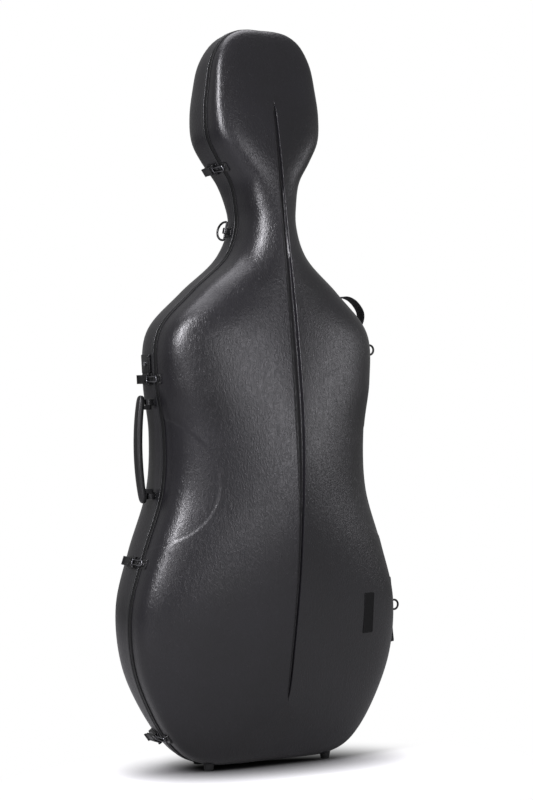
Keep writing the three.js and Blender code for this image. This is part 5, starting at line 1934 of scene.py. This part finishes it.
@dataclass
class Padding:
    """The foam fittings inside, each softened from the solid that it stands for."""

    join: float = 1e-5
    pads: tuple[Fitting, ...] = (
        Fitting("neck_rest", "base", 2.0, 8),
        Fitting("side_pad_left", "base", 2.5, 9),
        Fitting("side_pad_right", "base", 2.5, 9),
        Fitting("end_block", "base", 2.5, 10),
        Fitting("bow_rest_left", "lid", 1.2, 5),
        Fitting("bow_rest_right", "lid", 1.2, 5),
    )
    pocket: tuple[Fitting, ...] = (
        Fitting("pocket", "base", 1.1, 2),
        Fitting("pocket_flap", "pocket_flap", 0.8, 2),
    )

    def soften(self, fitting: Fitting) -> bpy.types.Object:
        """A padded copy of a node: its solid remeshed evenly and its corners smoothed away.

        Args:
            fitting: The fitting.

        Returns:
            The piece.
        """
        name = f"{fitting.node}_foam"
        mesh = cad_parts[fitting.node].data.copy()
        mesh.name = name
        work = bmesh.new()
        work.from_mesh(mesh)
        bmesh.ops.remove_doubles(work, verts=work.verts, dist=self.join)
        work.to_mesh(mesh)
        work.free()
        piece = add_object(name, mesh)
        remesh = piece.modifiers.new("even mesh", "REMESH")
        remesh.mode = "VOXEL"
        remesh.voxel_size = fitting.voxel * MM
        smooth = piece.modifiers.new("soft corners", "SMOOTH")
        smooth.factor = 0.5
        smooth.iterations = fitting.rounds
        bpy.context.view_layer.update()
        ready = piece.evaluated_get(bpy.context.evaluated_depsgraph_get())
        baked = bpy.data.meshes.new_from_object(ready)
        piece.modifiers.clear()
        piece.data = baked
        baked.name = name
        baked.shade_smooth()
        return dress(piece, PLUSH, fitting.body, [fitting.node])

    def build(self) -> None:
        """Builds every foam fitting."""
        for fitting in self.pads:
            self.soften(fitting)
        for fitting in self.pocket:
            self.soften(fitting)


@dataclass
class NeckStrap:
    """The webbing strap that closes over the neck rest."""

    height: float = 964.6
    span: float = 27.0
    half_width: float = 12.0
    thickness: float = 1.8
    rest_front: float = 12.0
    front: float = 2.5
    gap: float = 0.3

    def build(self) -> None:
        """Builds the strap in the plane across the case."""
        axes = np.eye(3)
        seat = Seat(np.array([0, 0, self.height]), axes[0], axes[2], -axes[1])
        low = self.gap + self.thickness / 2 - self.rest_front
        rise = -self.front - low
        shares = np.array(NECK_STRAP_SHARES)
        line = through_points(np.column_stack([shares[:, 0] * self.span, low + shares[:, 1] * rise]), 6)
        make_piece("neck_strap_webbing", band(seat, line, self.half_width, self.thickness, 0.0), WEBBING,
                   "base", ["neck_strap"])


@dataclass
class BowButtons:
    """The turn buttons that keep the bows in their rests."""

    across: float = 84.012
    front: float = 68.0
    height: float = 800.3
    half_width: float = 6.0
    half_length: float = 19.0
    thickness: float = 4.0
    pin: float = 2.5
    pin_length: float = 8.0
    gap: float = 0.3
    pin_sunk: float = 0.5
    insets: tuple[float, ...] = (0.7, 0.2, 0)
    rises: tuple[float, ...] = (0, 0.15, 0.6)
    drops: tuple[float, ...] = (0.7, 0.2, 0)

    def build(self) -> None:
        """Builds both buttons: a bar with round ends and a pin into the rest."""
        axes = np.eye(3)
        middle, half = (self.half_length - self.half_width) / 2, (self.half_length + self.half_width) / 2
        insets = np.array([*self.insets, *self.insets[::-1]])
        outs = self.gap + np.array([*self.rises, *(self.thickness - drop for drop in self.drops)])
        flat = np.stack([rounded_oblong(self.half_width - i, half - i, self.half_width - i - 0.1, 8)
                         for i in insets]) + [0, middle]
        out = np.broadcast_to(outs[:, None, None], (*flat.shape[:2], 1))
        for side in Side:
            place = np.array([side * self.across, -self.front, self.height])
            seat = Seat(place, axes[0], axes[2], axes[1])
            shape = Shape(seat).grid(np.concatenate([flat, out], 2), cap=True)
            shape.rod((0, 0, self.pin_sunk - self.pin_length), self.pin_length, self.pin, Axis.OUT)
            name = f"bow_button_{side.label}"
            make_piece(f"bow_turn_button_{side.label}", shape, PLASTIC, name, [name])


@dataclass
class PhotoCamera:
    """The photograph's viewpoint."""

    azimuth: float = 30.2
    distance: float = 3717.0
    aim_height: float = 653.5
    lens: float = 91.6
    shift: float = 0.0091
    roll: float = -0.3
    sensor: float = 36.0

    def build(self) -> None:
        """Sets the scene's camera: level, left of the front, turned a little about its own axis."""
        turn = np.radians(self.azimuth)
        away = np.array([-np.sin(turn), -np.cos(turn), 0])
        aim = FORM.to_row(np.array([0, 0, self.aim_height]))
        data = bpy.data.cameras.new("photo camera")
        data.lens = self.lens
        data.sensor_fit = "AUTO"
        data.sensor_width = self.sensor
        data.shift_x = self.shift
        camera = add_object("photo camera", data)
        camera.location = Vector(aim + away * self.distance * MM)
        look = Vector(-away).to_track_quat("-Z", "Y").to_matrix().to_4x4()
        camera.rotation_euler = (look @ Matrix.Rotation(np.radians(self.roll), 4, "Z")).to_euler()
        bpy.context.scene.camera = camera


@dataclass(frozen=True)
class Softbox:
    """A soft area lamp: its angle from the front to the left, and its sizes in metres."""

    name: str
    angle: float
    distance: float
    height: float
    width: float
    tall: float
    power: float
    colour: ClassVar[tuple[float, float, float]] = (1.0, 0.985, 1.04)
    aim: ClassVar[tuple[float, float, float]] = (0, 0, 0.66)

    def build(self) -> None:
        """Hangs the lamp and points it at the case's middle."""
        data = bpy.data.lights.new(self.name, "AREA")
        data.shape = "RECTANGLE"
        data.size = self.width
        data.size_y = self.tall
        data.energy = self.power
        data.color = self.colour
        lamp = add_object(self.name, data)
        turn = np.radians(self.angle)
        place = Vector((-np.sin(turn) * self.distance, -np.cos(turn) * self.distance, self.height))
        lamp.location = place
        lamp.rotation_euler = (Vector(self.aim) - place).to_track_quat("-Z", "Y").to_euler()


@dataclass
class Studio:
    """A white floor and backdrop, a strip light and soft boxes, and the case's painted contact shadow.

    Its sizes are in metres. Near the case a contact shadow is painted into the floor's colour for the
    camera from the floor's own occlusion, and beyond an oval round the case's foot the camera sees plain
    white.
    """

    floor_half: float = 20.0
    ambient: float = 0.3
    room: float = 0.32
    backdrop: float = 0.34
    floor_tone: float = 0.93
    floor_bounce: float = 0.42
    shadow_reach: float = 0.115
    shadow_power: float = 1.9
    shadow_least: float = 0.02
    shadow_centre: Pair = (-0.1, -0.18)
    floor_near: float = 0.2
    floor_far: float = 0.4
    oval_stretch: tuple[float, float, float] = (0.75, 1, 1)
    behind: Pair = (-0.25, 0.55)
    lamps: tuple[Softbox, ...] = (
        Softbox("left strip", 65, 2.3, 2.0, 0.14, 1.7, 84),
        Softbox("left box", 46, 2.3, 1.0, 0.3, 1.2, 4),
        Softbox("front box", 2, 3.2, 1.05, 0.9, 1.6, 25),
        Softbox("right box", -65, 3.0, 1.0, 0.6, 1.0, 10),
        Softbox("top box", 170, 0.3, 3.4, 2.4, 2.4, 78),
    )

    def seen(self, tree: Tree) -> Socket:
        """1 for camera rays, and for mirrored and passed-on ones that go to the back.

        The backdrop stands behind the case: its share rises with a ray's direction along Y.

        Args:
            tree: The world's node tree.

        Returns:
            The share.
        """
        path = add_node(tree, "LightPath")
        passed = maths(tree, "MAXIMUM", path.outputs["Is Glossy Ray"], path.outputs["Is Transmission Ray"])
        place = add_node(tree, "TexCoord").outputs["Generated"]
        split = add_node(tree, "SeparateXYZ", Vector=place)
        behind = remap(tree, split.outputs[1], self.behind, (self.room, self.backdrop), eased=True)
        mirrored = maths(tree, "MULTIPLY", passed, behind)
        return maths(tree, "MAXIMUM", path.outputs["Is Camera Ray"], mirrored)

    def floor_material(self) -> bpy.types.Material:
        """White paper: lit near the case with a contact shadow painted into its colour, and plain white to
        the camera far away.

        Returns:
            The material.
        """
        material = bpy.data.materials.new("white floor")
        material.use_nodes = True
        tree = material.node_tree
        shader = tree.nodes["Principled BSDF"]
        path = add_node(tree, "LightPath")
        # Painted shadow: for camera rays the floor's colour is darkened by its occlusion near the case.
        corner = add_node(tree, "AmbientOcclusion", {"samples": 16}, Distance=self.shadow_reach)
        dark = maths(tree, "POWER", corner.outputs["AO"], self.shadow_power)
        dark = maths(tree, "MAXIMUM", dark, self.shadow_least)
        painted_shadow_tone = maths(tree, "MULTIPLY", dark, self.floor_tone)
        tone = remap(tree, path.outputs["Is Camera Ray"], (0.0, 1.0), (self.floor_bounce, painted_shadow_tone))
        tree.links.new(tone, shader.inputs["Base Color"])
        shader.inputs["Roughness"].default_value = 0.9
        shader.inputs["Specular IOR Level"].default_value = 0.0
        place = add_node(tree, "TexCoord").outputs["Object"]
        centre = (*self.shadow_centre, 0)
        offset = add_node(tree, "VectorMath", {"operation": "SUBTRACT"}, i0=place, i1=centre)
        oval = add_node(tree, "VectorMath", {"operation": "MULTIPLY"}, i0=offset.outputs[0],
                        i1=self.oval_stretch)
        away = add_node(tree, "VectorMath", {"operation": "LENGTH"}, i0=oval.outputs[0])
        far = remap(tree, away.outputs["Value"], (self.floor_near, self.floor_far), eased=True)
        white = add_node(tree, "Emission", Color=(1, 1, 1, 1), Strength=1.0)
        share = maths(tree, "MULTIPLY", far, path.outputs["Is Camera Ray"])
        mixed = add_node(tree, "MixShader", i0=share, i1=shader.outputs[0], i2=white.outputs[0])
        tree.links.new(mixed.outputs[0], tree.nodes["Material Output"].inputs["Surface"])
        return material

    def build(self) -> None:
        """Sets the world, the floor and the lamps."""
        scene = bpy.context.scene
        scene.view_settings.view_transform = "Standard"
        world = bpy.data.worlds.new("white studio")
        world.use_nodes = True
        scene.world = world
        tree = world.node_tree
        background = tree.nodes["Background"]
        background.inputs["Color"].default_value = (1, 1, 1, 1)
        path = add_node(tree, "LightPath")
        diffuse = maths(tree, "MULTIPLY", path.outputs["Is Diffuse Ray"], self.ambient)
        strength = maths(tree, "MAXIMUM", self.seen(tree), diffuse)
        tree.links.new(strength, background.inputs["Strength"])
        half = self.floor_half
        mesh = bpy.data.meshes.new("floor")
        corners = [(-half, -half, 0), (half, -half, 0), (half, half, 0), (-half, half, 0)]
        mesh.from_pydata(corners, [], [(0, 1, 2, 3)])
        floor = add_object("floor", mesh)
        mesh.materials.append(self.floor_material())
        for lamp in self.lamps:
            lamp.build()


def main() -> None:
    """Builds the camera, the studio and every piece of the case in order."""
    logging.basicConfig(level=logging.INFO, format="%(name)s: %(message)s")
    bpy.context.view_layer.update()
    PhotoCamera().build()
    Studio().build()
    Shells().build()
    Rims().build()
    Badge().build()
    Feet().build()
    Hinges().build()
    for place in LatchPlace:
        Latch(place).build()
    Handle().build()
    StrapRing("neck_ring", height=959.3, side=Side.LEFT, half_width=17.0, reach=20.0, turn=-72.0).build()
    StrapRing("upper_side_ring", height=744.65, side=Side.RIGHT).build()
    StrapRing("lower_side_ring", height=261.0, side=Side.RIGHT).build()
    GrabStrap().build()
    Linings().build()
    Padding().build()
    NeckStrap().build()
    BowButtons().build()


if __name__ == "__main__":
    main()
